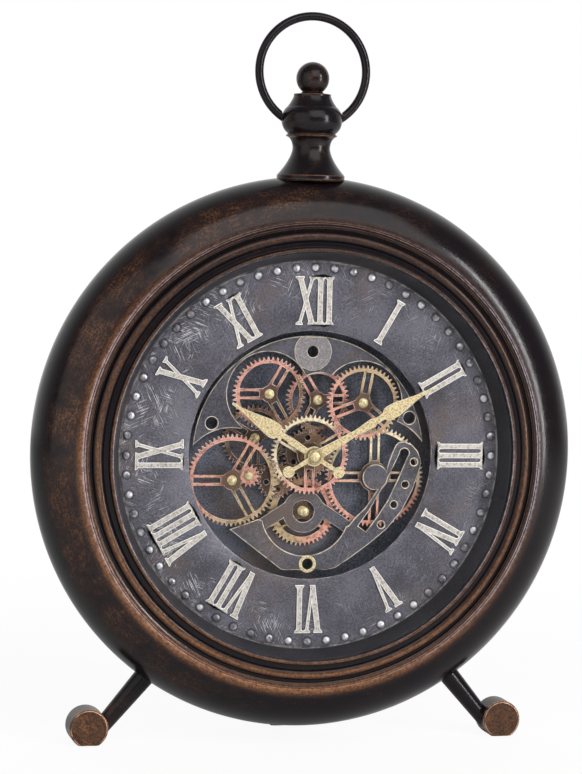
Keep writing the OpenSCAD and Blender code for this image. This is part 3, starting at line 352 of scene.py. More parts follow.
def painted_shade_round_studs_and_edge(tree):
    """Painted shade round the foot of each stud and along the dial's edge. The angle to the nearest
    stud, as a length along the ring, and the distance from the ring give the distance from that
    stud."""
    flat = face_place(tree, FLAT)
    angle = add(tree, "Math", add(tree, "SeparateXYZ", flat, out="X"),
                add(tree, "SeparateXYZ", flat, out="Z"), operation="ARCTAN2")
    turns = add(tree, "Math", angle, MINUTES / (2 * math.pi), **TIMES)
    whole = add(tree, "Math", turns, operation="ROUND")
    off = add(tree, "Math", turns, whole, operation="SUBTRACT")
    along = add(tree, "Math", off, 2 * math.pi * STUD_RING_R * MM / MINUTES, **TIMES)
    radius = axis_distance(tree)
    out = add(tree, "Math", radius, STUD_RING_R * MM, operation="SUBTRACT")
    apart = add(tree, "VectorMath", add(tree, "CombineXYZ", {"X": along, "Y": out}),
                out="Value", operation="LENGTH")
    # painted shade: darker at the foot of each stud and along the dial's edge by the flared ring
    stud_foot_shade = add(tree, "MapRange", apart, STUD_FOOT_R * MM, STUD_SHADE_R * MM, 0.85, 0.0)
    edge = add(tree, "MapRange", radius, (CHAPTER_R - EDGE_SHADE_W) * MM, CHAPTER_R * MM,
               0.0, 0.6, **SMOOTH)
    return add(tree, "Math", stud_foot_shade, edge, operation="MAXIMUM")


def rubbed_slate(name, dark, pale, scratch, amount, brown, studded=False):
    """Dark lacquer with a fine grain, light scratches and a brown bloom. dark and pale are the
    two tones of the lacquer, scratch the colour of the scratches, and amount and brown how much
    there is of the scratches and of the bloom. studded is for the dial."""
    material, tree, shader = finish(name, Metallic=0.3)
    total = rubbing(tree)
    # scratches by the studs, made stronger on the left as a painted sheen of the light from that
    # side
    if studded:
        total = add(tree, "Math", total, rubbing_and_left_sheen(tree), **TIMES)
    scaled = add(tree, "Math", total, amount, **TIMES)
    mask = add(tree, "Math", scaled, 1.0, operation="MINIMUM")
    grain = cloudy(tree, GRAIN, 2.0)
    both = add(tree, "Math", cloudy(tree, MOTTLING, 5.0), grain, **PLUS)
    tone = add(tree, "MapRange", add(tree, "Math", both, 0.5, **TIMES), 0.4, 0.6, **SMOOTH)
    bloom = add(tree, "MapRange", cloudy(tree, BLOOM, 3.0), 0.5, 0.75, 0.0, brown, **SMOOTH)
    colour = dark
    for share, coat in ((tone, pale), (bloom, "#63503f"), (mask, scratch)):
        colour = add(tree, "Mix", {0: share, 6: colour, 7: coat}, **COLOUR)
    # painted shade at the studs' feet and along the dial's edge, in #1d1c21
    if studded:
        colour = add(tree, "Mix", {0: painted_shade_round_studs_and_edge(tree), 6: colour, 7: "#1d1c21"}, **COLOUR)
    height = add(tree, "Math", grain, 0.5, mask, operation="MULTIPLY_ADD")
    tie(tree, shader, Base_Color=colour,
        Roughness=add(tree, "MapRange", mask, 0.0, 1.0, 0.42, 0.3),
        Normal=add(tree, "Bump", {"Height": height, "Distance": LACQUER_RELIEF}))
    return material


# Sprayed metallic lacquer, rubbed white by the studs: a satin grey with short bright scratches,
# more of them on the left as a painted sheen
slate_dial = rubbed_slate("slate_lacquer_dial", "#413f48", "#615f69", "#e2e2e6", 0.85, 0.45,
                          studded=True)
# The same spray on the bridges, a tone darker and browner where the wheels' grease reached it
slate_bridge = rubbed_slate("slate_lacquer_bridge", "#3c3b43", "#57565f", "#a8a4a2", 0.5, 0.6)
# The boss disc, rubbed nearly through to the steel, so it is the palest plate
slate_boss = rubbed_slate("slate_lacquer_boss", "#736d6f", "#958f91", "#d6d0ca", 0.6, 0.4)
# The base plate lies deep behind the wheels: bluish, with few scratches
slate_base = rubbed_slate("slate_lacquer_base", "#2e313a", "#5d606e", "#8d8a8c", 0.35, 0.6)
# The flared ring faces inwards, where the pad hardly reached: an even dark grey
slate_wall = rubbed_slate("slate_lacquer_wall", "#29282d", "#36353b", "#6d6a6c", 0.3, 0.3)
print(slate_dial.name, slate_bridge.name, slate_boss.name, slate_base.name, slate_wall.name)

# %% [markdown]
# An edge is where a rubbed or handled lacquer wears through first, so on the real clock a thin
# pale line follows every edge and hole. On the numerals, the wheels and the hands the line is made
# brighter still, as a painted highlight. It is a finish of two tones shared out by clouds: the bare
# tone, and the lacquer that is left. The same simple mottling also serves the plain pieces below.

# %% Mottled finishes and rubbed edges
WORN_SPOTS = 190                # 5 mm across


def mottled(name, clouds, first, second, share=None, relief=0.0, **constants):
    """A finish whose tone goes from first to second by clouds, so many in a metre. share is the
    low and the high end of the clouds between which it changes, and relief the bumps' height."""
    material, tree, shader = finish(name, **constants)
    noise = cloudy(tree, clouds)
    change = noise if share is None else add(tree, "MapRange", noise, *share, **SMOOTH)
    tie(tree, shader, Base_Color=add(tree, "Mix", {0: change, 6: first, 7: second}, **COLOUR))
    if relief:
        tie(tree, shader, Normal=add(tree, "Bump", {"Height": noise, "Distance": relief}))
    return material


def rubbed_edge(name, bare, kept, low, high, metallic=0.4):
    """An edge where the rubbing went through to a bare tone. kept is the lacquer that is left,
    and low and high say how the clouds share them out."""
    return mottled(name, WORN_SPOTS, kept, bare, (low, high), Metallic=metallic, Roughness=0.4)


# Steel showing through the bridges' lacquer: a warm white line that draws each plate's outline
edge_slate = rubbed_edge("rubbed_slate_edge", "#e6dac6", "#87796c", 0.32, 0.58, 0.15)
# The dial's window and the well are less handled, so their line is grey and broken
edge_dial = rubbed_edge("rubbed_dial_edge", "#b9b2ae", "#5a565b", 0.38, 0.62)
# Copper paint on the feet's rims
edge_bronze = rubbed_edge("rubbed_bronze_edge", "#b48a6c", "#4a352a", 0.35, 0.6)
# Silver left by the wash on the numerals' edges, brightened as a painted highlight: the brightest
# line on the dial
silver_edge_and_highlight = rubbed_edge("silver_edge_and_painted_highlight", "#fffdf8", "#d5cdc4", 0.25, 0.5, 0.0)
# Plating worn to pale pink brass on the tips of the teeth, made paler as a painted highlight
wheel_edge_wear_and_highlight = rubbed_edge("wheel_edge_wear_and_painted_highlight", "#ffe6d6", "#93695a", 0.38, 0.6, 0.15)
# The hands' stamped edges, painted a paler gold as a highlight
gold_edge_and_highlight = rubbed_edge("gold_edge_painted_highlight", "#fff6d6", "#b09a70", 0.3, 0.55, 0.1)
print("edges ready")

# %% [markdown]
# The numerals are zinc castings with a silver paint, toned down with a brown wash that stays in
# the grain. Their walls are darkened as a painted shade. Their faces are mottled, and their edges
# are bright, partly as a painted highlight.

# %% Silver of the numerals
WASH_GRAIN = 800                # 1.2 mm
WASH_RELIEF = 0.02 * MM
silver, tree, shader = finish("washed_silver_casting", Metallic=0.3, Roughness=0.42)
wash = cloudy(tree, WASH_GRAIN, 4.0, 0.7)
stays = add(tree, "MapRange", wash, 0.42, 0.72, **SMOOTH)
face = add(tree, "Mix", {0: stays, 6: "#cbc5bd", 7: "#766d65"}, **COLOUR)
tie(tree, shader,
    # the walls get a painted shade, #29272a, and the faces get the washed silver
    Base_Color=add(tree, "Mix", {0: faces_front(tree), 6: "#29272a", 7: face}, **COLOUR),
    Normal=add(tree, "Bump", {"Height": wash, "Distance": WASH_RELIEF}))
print(silver.name)

# %% [markdown]
# The wheels are stamped brass, each plated and then aged, so that its tone changes from one side
# to the other: copper red into antique brass or bronze. Each wheel is darker towards the hub and
# the middle of the spokes, and the walls between the teeth are darkened as a painted shade.

# %% Plated gears
PLATING_SPOTS, GRIME = 240, 500
HUB_DARK_SHARE = 0.3                # of the way from the hub to the tips


def plated(name, here, there, place, reach, heading, hub):
    """Plating whose tone goes from here to there across a wheel. place is the wheel's middle,
    reach its radius, heading the direction of the second tone and hub the dark middle's radius.
    The tone is the projection of the place on the heading, in radii, pushed about by clouds."""
    material, tree, shader = finish(name, Metallic=0.6)
    away = add(tree, "VectorMath", add(tree, "TexCoord", out="Object"), place,
               operation="SUBTRACT")
    aim = (math.cos(heading) / reach, 0.0, math.sin(heading) / reach)
    along = add(tree, "VectorMath", away, aim, out="Value", operation="DOT_PRODUCT")
    blotches = cloudy(tree, PLATING_SPOTS, 3.0)
    pushed = add(tree, "Math", blotches, 1.4, -0.7, operation="MULTIPLY_ADD")
    along = add(tree, "Math", along, pushed, **PLUS)
    tone = add(tree, "MapRange", along, -0.4, 0.4, **SMOOTH)
    flat = add(tree, "VectorMath", away, FLAT, **TIMES)
    radius = add(tree, "VectorMath", flat, out="Value", operation="LENGTH")
    # darker towards the hub and the middle of the spokes
    hub_darkening = add(tree, "MapRange", radius, hub, hub + HUB_DARK_SHARE * (reach - hub), 0.85, 0.0)
    dirt = add(tree, "MapRange", cloudy(tree, GRIME), 0.48, 0.62, 0.0, 0.5, **SMOOTH)
    dark = add(tree, "Math", hub_darkening, dirt, operation="MAXIMUM")
    face = add(tree, "Mix", {0: tone, 6: here, 7: there}, **COLOUR)
    face = add(tree, "Mix", {0: dark, 6: face, 7: "#3a2c26"}, **COLOUR)
    tie(tree, shader,
        # the wheels' walls get a painted shade, #41302a
        Base_Color=add(tree, "Mix", {0: faces_front(tree), 6: "#41302a", 7: face}, **COLOUR),
        Roughness=add(tree, "MapRange", blotches, 0.0, 1.0, 0.3, 0.5))
    return material


COPPER_RED, BRONZE, BRASS = "#e0a08e", "#8f705a", "#bda57d"
GOLD, DARK_BRONZE = "#eee0bb", "#5f4c40"
# first tone, second tone, heading in degrees from +X towards +Z, radius of the dark hub in mm
WHEELS = {
    "gear_upper_left": (COPPER_RED, BRONZE, -45, 4.5),
    "gear_lower_left": (COPPER_RED, BRASS, -40, 4.8),
    "gear_upper_right": (COPPER_RED, BRASS, 35, 4.5),
    "gear_centre": (GOLD, COPPER_RED, -45, 6.6),
    "gear_top": (BRONZE, COPPER_RED, 90, 4.5),
    "gear_right": (COPPER_RED, GOLD, 80, 7.6),
    "gear_bottom": (BRASS, COPPER_RED, 0, 4.5),
    "gear_left": (DARK_BRONZE, BRONZE, 90, 4.5),
    "gear_middle": (DARK_BRONZE, BRONZE, 0, 2.0),
    "drive_pinion": (COPPER_RED, COPPER_RED, 0, 1.0),
    "gear_centre_lower": (DARK_BRONZE, BRONZE, 0, 4.0),
}
wheel_finish = {}
for wheel, (here, there, heading_deg, hub_mm) in WHEELS.items():
    low, high = (np.array(corner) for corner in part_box(wheel))
    middle = tuple(float(v) for v in 0.5 * (low + high))
    wheel_finish[wheel] = plated("plated_" + wheel, here, there, middle,
                                 float(high[0] - low[0]) / 2, math.radians(heading_deg),
                                 hub_mm * MM)
print(len(wheel_finish), "plated wheels")

# %% [markdown]
# The hands are thin stamped brass with a pale gilding that the stamping left a little grainy. The
# cap nut in the middle stays bright, and a painted shade darkens a ring round it, on the hands'
# hub.

# %% Pale gold of the hands
NUT_R, HUB_R, HUB_SOFT = 1.9, 4.6, 0.6
GILT_GRAIN = 1000
GILT_RELIEF = 0.015 * MM
pale_gold, tree, shader = finish("satin_pale_gold", Metallic=0.5, Roughness=0.38)
grain = cloudy(tree, GILT_GRAIN, 3.0)
tone = add(tree, "MapRange", grain, 0.4, 0.68, **SMOOTH)
gilt = add(tree, "Mix", {0: tone, 6: "#e6d4a8", 7: "#a68f62"}, **COLOUR)
radius = axis_distance(tree)
# painted shade on the hub round the nut: darker from the nut's edge out to the hub's
outside_nut = add(tree, "MapRange", radius, NUT_R * MM, (NUT_R + HUB_SOFT) * MM, **SMOOTH)
inside_hub = add(tree, "MapRange", radius, HUB_R * MM, (HUB_R - HUB_SOFT) * MM, 0.0, 0.65,
                 **SMOOTH)
nut_shade_ring = add(tree, "Math", outside_nut, inside_hub, **TIMES)
tie(tree, shader, Base_Color=add(tree, "Mix", {0: nut_shade_ring, 6: gilt, 7: "#8a7c50"}, **COLOUR),
    Normal=add(tree, "Bump", {"Height": grain, "Distance": GILT_RELIEF}))
print(pale_gold.name)

# %% [markdown]
# The rest are plain finishes, mostly of pieces behind the dial or at the back. Each is named for
# what it is and how it was made. Their clouds are wide where a bath or a press left slow changes,
# and fine where the surface has a grain.

# %% Plain finishes
# Turned on a lathe and left bare: satin, with a tone that shifts about every millimetre
pin_brass = mottled("turned_brass_pins", 700, "#e2d6ab", "#ab9666", (0.4, 0.65),
                    Metallic=0.5, Roughness=0.48)
# Turned hubs and bushes from the ageing bath: dull brown with brass showing in 4 mm spots
aged_brass = mottled("aged_brass_hubs", 260, "#54402f", "#8f7350", (0.4, 0.65),
                     Metallic=0.6, Roughness=0.42)
# ABS moulded in a spark-eroded tool, whose fine pits make it an even half gloss
black_plastic = mottled("moulded_black_abs", 2500, "#131315", "#1c1c1f", relief=0.03 * MM,
                        Roughness=0.45)
# Pressed steel sheet, powder coated: the powder melts into a fine orange peel
black_cover = mottled("powder_coated_steel", 1600, "#151416", "#201f21", relief=0.05 * MM,
                      Roughness=0.5)
# Bright zinc from a plating barrel, slightly cloudy from handling
zinc = mottled("zinc_plated_steel", 400, "#b9bcc0", "#8b8f95", Metallic=1.0, Roughness=0.32)
# A shrunk plastic film round the cell, drawn tight along it, with a metallic print
cell_sleeve = mottled("printed_cell_sleeve", (80, 300, 300), "#3b4450", "#2a3038",
                      Metallic=0.3, Roughness=0.35)
# Float glass, flat and nearly unseen: only its reflections show that it is there
clear_glass = mottled("clear_flat_glass", 20, "#0d1110", "#141a18", Roughness=0.03, Alpha=0.04)
# Pressed and dark chromed, then rubbed: some studs are bright and some nearly black
dark_stud = mottled("dark_chromed_studs", 160, "#66656c", "#d2d0d4", (0.4, 0.6),
                    Metallic=0.6, Roughness=0.32)
print("plain finishes ready")

# %% [markdown]
# Most of the case was spun or turned, so its surface is a profile carried round an axis. The
# profile is a list of corners: distance from the axis, and height along it. A real turned part
# has no sharp corner, so each corner is first made round, and the points on it remember how much
# they stick out. The lacquer wears through there.

# %% Rounding a turned profile
CURVE_DEG = 12                  # a corner that turns by less belongs to a curve


def softened(corners, radius, closed=True, steps=4):
    """Rounds a profile's corners and gives its points and their wear.

    Each corner becomes the quadratic curve from a point on its one side to a point on its other
    side, radius away from the corner or 0.35 of the side if that is less, with the corner itself
    as the middle control point: (1-t)^2 start + 2t(1-t) corner + t^2 end. One more point on each
    side, a third of the radius further out, keeps the flats flat when the shading is smooth. Wear
    is the sine of the angle by which the profile turns outwards, times 4t(1-t). A corner that
    turns by less than 12 degrees belongs to a curve: it stays one point and has no wear."""
    corners = np.asarray(corners, float)
    before, after = np.roll(corners, 1, axis=0) - corners, np.roll(corners, -1, axis=0) - corners
    length_before, length_after = np.hypot(*before.T), np.hypot(*after.T)
    cut_before = np.minimum(radius, 0.35 * length_before) / length_before
    cut_after = np.minimum(radius, 0.35 * length_after) / length_after
    start, end = corners + before * cut_before[:, None], corners + after * cut_after[:, None]
    t = np.linspace(0, 1, steps + 1)[None, :, None]
    curve = ((1 - t) ** 2 * start[:, None] + 2 * t * (1 - t) * corners[:, None]
             + t ** 2 * end[:, None])
    first, last = start + before * cut_before[:, None] / 3, end + after * cut_after[:, None] / 3
    points = np.concatenate([first[:, None], curve, last[:, None]], axis=1)
    following = np.roll(corners, -1, axis=0)
    area = 0.5 * np.sum(corners[:, 0] * following[:, 1] - following[:, 0] * corners[:, 1])
    cross = after[:, 0] * before[:, 1] - after[:, 1] * before[:, 0]
    sine = np.sign(area) * cross / (length_before * length_after)
    bulge = np.concatenate([[0], (4 * t * (1 - t)).ravel(), [0]])
    wear_and_highlight = np.clip(sine, 0, 1)[:, None] * bulge[None]
    gentle, middle = np.abs(sine) < math.sin(math.radians(CURVE_DEG)), steps // 2 + 1
    points[gentle, middle], wear_and_highlight[gentle] = corners[gentle], 0
    kept = ~gentle[:, None] | (np.arange(steps + 3) == middle)[None]
    if not closed:
        inner = slice(1, -1)
        points = np.concatenate([corners[:1], points[inner][kept[inner]], corners[-1:]])
        return points, np.concatenate([[0], wear_and_highlight[inner][kept[inner]], [0]])
    return points[kept], wear_and_highlight[kept]


print("profiles ready")

# %% [markdown]
# A surface is made in whole arrays: its points as a grid, its faces as corner numbers. It then
# stands for the solids of the same piece, on their body, so the clock comes apart and moves as the
# measured one does.

# %% Surfaces
MERGE = 0.0005 * MM
WEAR_SHARE = 0.6                # copper on the sharpest turned corner


def grid_faces(rows, columns, wrap_rows, wrap_columns):
    """Corner numbers of the four-sided faces of a grid that may close on itself either way."""
    row = np.arange(rows if wrap_rows else rows - 1)[:, None]
    column = np.arange(columns if wrap_columns else columns - 1)[None, :]
    next_row, next_column = (row + 1) % rows, (column + 1) % columns
    return np.stack([row * columns + column, row * columns + next_column,
                     next_row * columns + next_column, next_row * columns + column],
                    axis=-1).reshape(-1, 4)


def volume_sign(points, faces):
    """Plus where a closed surface's faces point outwards: the sum, over the faces, of the volume
    between each face and the origin."""
    a, b, c, d = (points[faces[:, k]] for k in range(4))
    return np.sign(np.sum(np.cross(b - a, c - a) * a) + np.sum(np.cross(c - a, d - a) * a))


def join_clock(piece, stands_for, materials):
    """Links a piece, gives it its finishes, and ties it to the solids that it stands for."""
    bpy.context.scene.collection.objects.link(piece)
    piece.data.materials.clear()
    for material in materials:
        piece.data.materials.append(material)
    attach(piece, body_of(nodes[stands_for[0]])[0])
    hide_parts(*stands_for)
    return piece


def shown_piece(name, points, faces, stands_for, materials, values=None):
    """Puts a surface into a mesh and joins it to the clock. It takes the place and the body of the
    solids that it stands for. values are numbers for its points."""
    points = np.asarray(points, float).reshape(-1, 3)
    if volume_sign(points, faces) < 0:
        faces = faces[:, ::-1]
    mesh = bpy.data.meshes.new(name)
    mesh.from_pydata(points.tolist(), [], faces.tolist())
    for key, numbers in (values or {}).items():
        numbers = np.asarray(numbers, float).ravel()
        mesh.attributes.new(key, "FLOAT", "POINT").data.foreach_set("value", numbers)
    work = bmesh.new()
    work.from_mesh(mesh)
    bmesh.ops.remove_doubles(work, verts=work.verts, dist=MERGE)
    work.to_mesh(mesh)
    work.free()
    mesh.shade_smooth()
    return join_clock(bpy.data.objects.new(name, mesh), stands_for, materials)


def about_hands(radius, height, angle):
    """Points about the hands' axis, with heights counted forwards from the case's mid plane."""
    return np.stack([AXIS_X + radius * MM * np.cos(angle), MID_Y - height * MM + 0 * angle,
                     AXIS_Z + radius * MM * np.sin(angle)], axis=-1)


def about_upright(radius, height, angle):
    """Points about the upright line through the case's middle, heights counted from the hands'
    axis."""
    return np.stack([AXIS_X + radius * MM * np.cos(angle), MID_Y + radius * MM * np.sin(angle),
                     AXIS_Z + height * MM + 0 * angle], axis=-1)


def turned(name, corners, place, stands_for, materials, radius, steps, closed=True, touch=None):
    """Carries a softened profile round an axis, in whole arrays: point (i, j) is profile point i
    at angle j. touch, where given, is a function of radius, height and angle that says how much
    brown, copper and pale line go there: brushed paint, with painted light and highlights in it."""
    profile, wear_and_highlight = softened(corners, radius, closed)
    angle = np.linspace(0, 2 * np.pi, steps, endpoint=False)[None, :]
    r, h = profile[:, :1], profile[:, 1:]
    values = {"wear_and_highlight": WEAR_SHARE * np.repeat(wear_and_highlight[:, None], steps, axis=1)}
    if touch is not None:
        values["rub_and_side_light"], copper_and_highlight, values["line"] = touch(r, h, angle)
        # the copper from touch is mostly a painted highlight, strongest low down
        values["wear_and_highlight"] = values["wear_and_highlight"] + copper_and_highlight
    faces = grid_faces(len(profile), steps, closed, True)
    return shown_piece(name, place(r, h, angle), faces, stands_for, materials, values)


def arc_points(centre_r, centre_h, reach_r, reach_h, first_deg, last_deg, count):
    """Points of an ellipse's arc in a profile."""
    angle = np.radians(np.linspace(first_deg, last_deg, count + 1))
    return np.stack([centre_r + reach_r * np.cos(angle), centre_h + reach_h * np.sin(angle)],
                    axis=-1)


print("surfaces ready")

# %% [markdown]
# The case is a hollow rim, half a circle in section, spun from one sheet. Its front ridge has one
# fine turned line, and a flange inside it carries the bezel. The shoulder is rubbed brown, made
# strongest on the left and above as painted light, and the ridge is rubbed to copper all round,
# made strongest low on the left as a painted highlight.

# %% The spun case
RIM_R, WALL = 25.0, 1.2
CASE_R = 0.5 * (case_high[0] - case_low[0]) / MM
RIDGE_R = CASE_R - RIM_R
SIGHT_R = RIDGE_R - 12.4        # the opening inside the bezel
FLANGE_F = RIM_R - 2.4
FLANGE_IN_R = SIGHT_R + 3.6
LINE_OUT = 2.0
LINE_R = RIDGE_R + LINE_OUT
LINE_HALF_TOP, LINE_HALF_FLOOR, LINE_DEPTH = 0.3, 0.2, 0.55
BACK_IN_R = 100.0
ROUND_STEPS = 288


def sideways(angle):
    """1 at nine and three o'clock and 0 at twelve and six: the square of the cosine."""
    return np.cos(angle) ** 2


def towards(angle, heading_deg, level):
    """1 at a heading, level at right angles to it, and never less than 0: level plus the rest
    times the cosine of the angle between them. Headings turn from three o'clock to twelve."""
    lobe = level + (1 - level) * np.cos(angle - math.radians(heading_deg))
    return np.clip(lobe, 0, 1)


def shoulder_touch(radius, height, angle):
    """Brown on the shoulder: a flat-topped bell of the angle round the rim's section, from 38 to
    78 degrees, strongest at half past nine as painted light from the left. Copper on the ridge: a
    narrow bell at 83 degrees, strongest between seven and eight, as a painted highlight. Pale
    lines:
    the two sides of the turned groove, at nine and three o'clock, as painted highlights."""
    section = np.degrees(np.arctan2(height, radius - RIDGE_R))
    bell = np.exp(-((section - 58) / 20) ** 4)
    # stronger towards the left: a painted light from the left side
    side = 0.04 + 1.1 * towards(angle, 160, 0.2) ** 1.3
    ridge = np.exp(-((section - 83) / 5) ** 2)
    # stronger at the lower left: a painted highlight
    low = towards(angle, 232, 0.35)
    # pale lines by the groove: painted highlights, strongest at nine and three o'clock
    groove_highlight = np.exp(-((np.abs(radius - LINE_R) - 0.45) / 0.2) ** 2) * (height > 20)
    return bell * side, ridge * (0.08 + 0.85 * low), groove_highlight * (0.1 + 0.9 * sideways(angle))


first_deg, last_deg = (math.degrees(math.acos((LINE_OUT + side) / RIM_R))
                       for side in (-LINE_HALF_TOP, LINE_HALF_TOP))
case_profile = np.concatenate([
    arc_points(RIDGE_R, 0, RIM_R, RIM_R, 89.5, first_deg, 2),
    [(LINE_R - LINE_HALF_FLOOR, RIM_R - LINE_DEPTH),
     (LINE_R + LINE_HALF_FLOOR, RIM_R - LINE_DEPTH)],
    arc_points(RIDGE_R, 0, RIM_R, RIM_R, last_deg, -90, 60),
    [(BACK_IN_R, -RIM_R), (BACK_IN_R, -RIM_R + WALL), (RIDGE_R, -RIM_R + WALL)],
    arc_points(RIDGE_R, 0, RIM_R - WALL, RIM_R - WALL, -80, 88, 30),
    [(RIDGE_R + 0.3, FLANGE_F - WALL), (FLANGE_IN_R, FLANGE_F - WALL), (FLANGE_IN_R, FLANGE_F),
     (RIDGE_R - 0.9, FLANGE_F), (RIDGE_R - 0.9, RIM_R - 0.5)]])
spun_case = turned("spun_case", case_profile, about_hands, ["case_shell"], [bronze_case], 0.25,
                   ROUND_STEPS, touch=shoulder_touch)
print("case", len(spun_case.data.polygons), "faces")

# %% [markdown]
# The bezel is a ring with a lip round the glass, a cove and a half round bead, and a skirt behind
# that clamps the glass and the flared ring against the dial. Copper catches on the top of the bead
# and on the lip, made strongest at the bottom as a painted highlight, and a painted highlight line
# runs round the lip's inside. The flared ring was sprayed with the dial, and slopes from the glass
# down to it.

# %% The bezel and the flared ring
LIP_F = 28.0
LIP_R = 1.0
LIP_OUT_R = SIGHT_R + 2 * LIP_R
BEAD_R = 2.9
BEAD_RING_R = RIDGE_R - 1.6 - BEAD_R - 0.6
COVE_F = FLANGE_F + 2
GLASS_F = LIP_F - 1.2
GLASS_BACK_F = GLASS_F - 1.5
SEAT_R = SIGHT_R + 0.8
SKIRT_R = SEAT_R + 0.9
DIAL_F = (MID_Y - DIAL_Y) / MM
bezel_profile = np.concatenate([
    arc_points(SIGHT_R + LIP_R, LIP_F - LIP_R, LIP_R, LIP_R, 180, 0, 12),
    [(LIP_OUT_R + 0.1, COVE_F + 0.4), (LIP_OUT_R + 0.5, COVE_F),
     (BEAD_RING_R - BEAD_R + 0.2, COVE_F)],
    arc_points(BEAD_RING_R, FLANGE_F + 0.5, BEAD_R, BEAD_R, 140, 0, 18),
    [(BEAD_RING_R + BEAD_R, FLANGE_F), (FLANGE_IN_R - 0.2, FLANGE_F),
     (FLANGE_IN_R - 0.2, DIAL_F), (SKIRT_R, DIAL_F), (SKIRT_R, GLASS_BACK_F),
     (SEAT_R, GLASS_BACK_F), (SEAT_R, GLASS_F), (SIGHT_R, GLASS_F)]])


def bead_touch(radius, height, angle):
    """Copper on the top of the bead and on the lip: two bells of the radius, on the front faces,
    strongest at the bottom as a painted highlight. A little brown goes with it, and a pale line on
    the lip's inside, a painted highlight strongest at nine and three o'clock."""
    bead = np.exp(-((radius - BEAD_RING_R - 0.4) / 1.2) ** 2) * (height > FLANGE_F + 1.5)
    lip = np.exp(-((radius - SIGHT_R - 1.2) / 0.7) ** 2) * (height > LIP_F - 0.8)
    # stronger at the bottom: a painted highlight
    low = 0.2 + 0.8 * towards(angle, 255, 0.4)
    # pale line inside the lip: a painted highlight
    line = np.exp(-((radius - SIGHT_R - 0.35) / 0.25) ** 2) * (height > LIP_F - 1.1)
    return (0.3 * (bead + lip) + 0 * angle, (0.7 * bead + 0.45 * lip) * low,
            line * (0.15 + 0.75 * sideways(angle)))


turned_bezel = turned("turned_bezel", bezel_profile, about_hands, ["bezel_ring"],
                      [bronze_bezel], 0.2, ROUND_STEPS, touch=bead_touch)
flare_profile = [(CHAPTER_R, DIAL_F), (CHAPTER_R + 0.2, DIAL_F + 0.8),
                 (SIGHT_R - 0.6, GLASS_BACK_F), (SKIRT_R - 0.1, GLASS_BACK_F),
                 (SKIRT_R - 0.1, DIAL_F)]
flared_wall = turned("flared_wall", flare_profile, about_hands, ["flared_ring"], [slate_wall],
                     0.15, 240)
print("bezel", len(turned_bezel.data.polygons), "wall", len(flared_wall.data.polygons), "faces")

# %% [markdown]
# The finial is turned too, about an upright line: a flange that sits on the case, a trumpet shaped
# neck and a collar, then an onion with a crease under its cap, and a ball. The carrying ring's
# pins go into the onion from both sides.

# %% The finial
FINIAL_STEPS = 96
SEAT_H = CASE_R - 2.3           # sunk into the case, which is round there
FLANGE_R, FLANGE_TOP = 17.2, CASE_R + 0.6
NECK_R, NECK_H = 9.5, CASE_R + 14.2
NECK_CURVE = 1.6
COLLAR_R, COLLAR_H = 13.0, CASE_R + 20.6
ONION_BOTTOM = COLLAR_H + 0.6
ONION_R, ONION_H, ONION_TOP = 15.4, CASE_R + 28.6, CASE_R + 41.6
LOBE_R, LOBE_H = 6.4, 7.8
BALL_R, BALL_H = 8.35, CASE_R + 49.4
rise = np.linspace(0, 1, 14)[:, None]
trumpet = np.concatenate([NECK_R + (FLANGE_R - NECK_R) * (1 - rise) ** NECK_CURVE,
                          FLANGE_TOP + (NECK_H - FLANGE_TOP) * rise], axis=1)
base_profile = np.concatenate([
    [(0, SEAT_H), (FLANGE_R - 0.5, SEAT_H), (FLANGE_R, SEAT_H + 0.8)], trumpet,
    arc_points(COLLAR_R, NECK_H, COLLAR_R - NECK_R, COLLAR_H - 0.4 - NECK_H, 170, 95, 8),
    [(COLLAR_R, COLLAR_H), (COLLAR_R - 0.4, ONION_BOTTOM), (0, ONION_BOTTOM)]])
finial_neck = turned("finial_neck", base_profile, about_upright, ["finial_base"],
                     [bronze_trim], 0.35, FINIAL_STEPS, False)
ball_start = math.degrees(math.asin((ONION_TOP + 0.9 - BALL_H) / BALL_R))
onion_profile = np.concatenate([
    [(0, ONION_BOTTOM), (12.2, ONION_BOTTOM)],
    arc_points(ONION_R - LOBE_R, ONION_H, LOBE_R, LOBE_H, -60, 58, 20),
    [(11, ONION_TOP - 4.4), (10, ONION_TOP - 2.6), (9.4, ONION_TOP - 1.1), (9.4, ONION_TOP),
     (6, ONION_TOP + 0.4)],
    arc_points(0, BALL_H, BALL_R, BALL_R, ball_start + 4, 90, 24)])
finial_knob = turned("finial_knob", onion_profile, about_upright, ["finial_onion"],
                     [bronze_trim], 0.3, FINIAL_STEPS, False)
print("finial", len(finial_neck.data.polygons) + len(finial_knob.data.polygons), "faces")

# %% [markdown]
# Sixty studs mark the minutes. Each is a low dome pressed into the dial, with a small step at its
# foot, and the dial's finish paints a shade round that foot. They are one piece: the dome's profile
# is carried round each stud's own middle, all sixty at once.

# %% The minute studs
STUD_R, STUD_H, STUD_STEP = 1.95, 1.1, 0.12
STUD_SIDES = 24
rise = np.linspace(0, 0.5 * np.pi, 8)
dome = np.stack([STUD_R * np.cos(rise), STUD_STEP + (STUD_H - STUD_STEP) * np.sin(rise)],
                axis=-1)
dome = np.concatenate([[(0.0, 0.0), (STUD_R, 0.0)], dome])
around = np.linspace(0, 2 * np.pi, STUD_SIDES, endpoint=False)
minute = 2 * np.pi / MINUTES * np.arange(MINUTES)
middle_x, middle_z = STUD_RING_R * np.sin(minute), STUD_RING_R * np.cos(minute)
stud_x = middle_x[:, None, None] + dome[None, :, :1] * np.cos(around)
stud_z = middle_z[:, None, None] + dome[None, :, :1] * np.sin(around)
stud_y = -np.broadcast_to(dome[None, :, 1:], stud_x.shape)
stud_points = np.stack([AXIS_X + stud_x * MM, DIAL_Y + stud_y * MM, AXIS_Z + stud_z * MM],
                       axis=-1)
one_stud = grid_faces(len(dome), STUD_SIDES, False, True)
first_points = np.arange(MINUTES) * len(dome) * STUD_SIDES
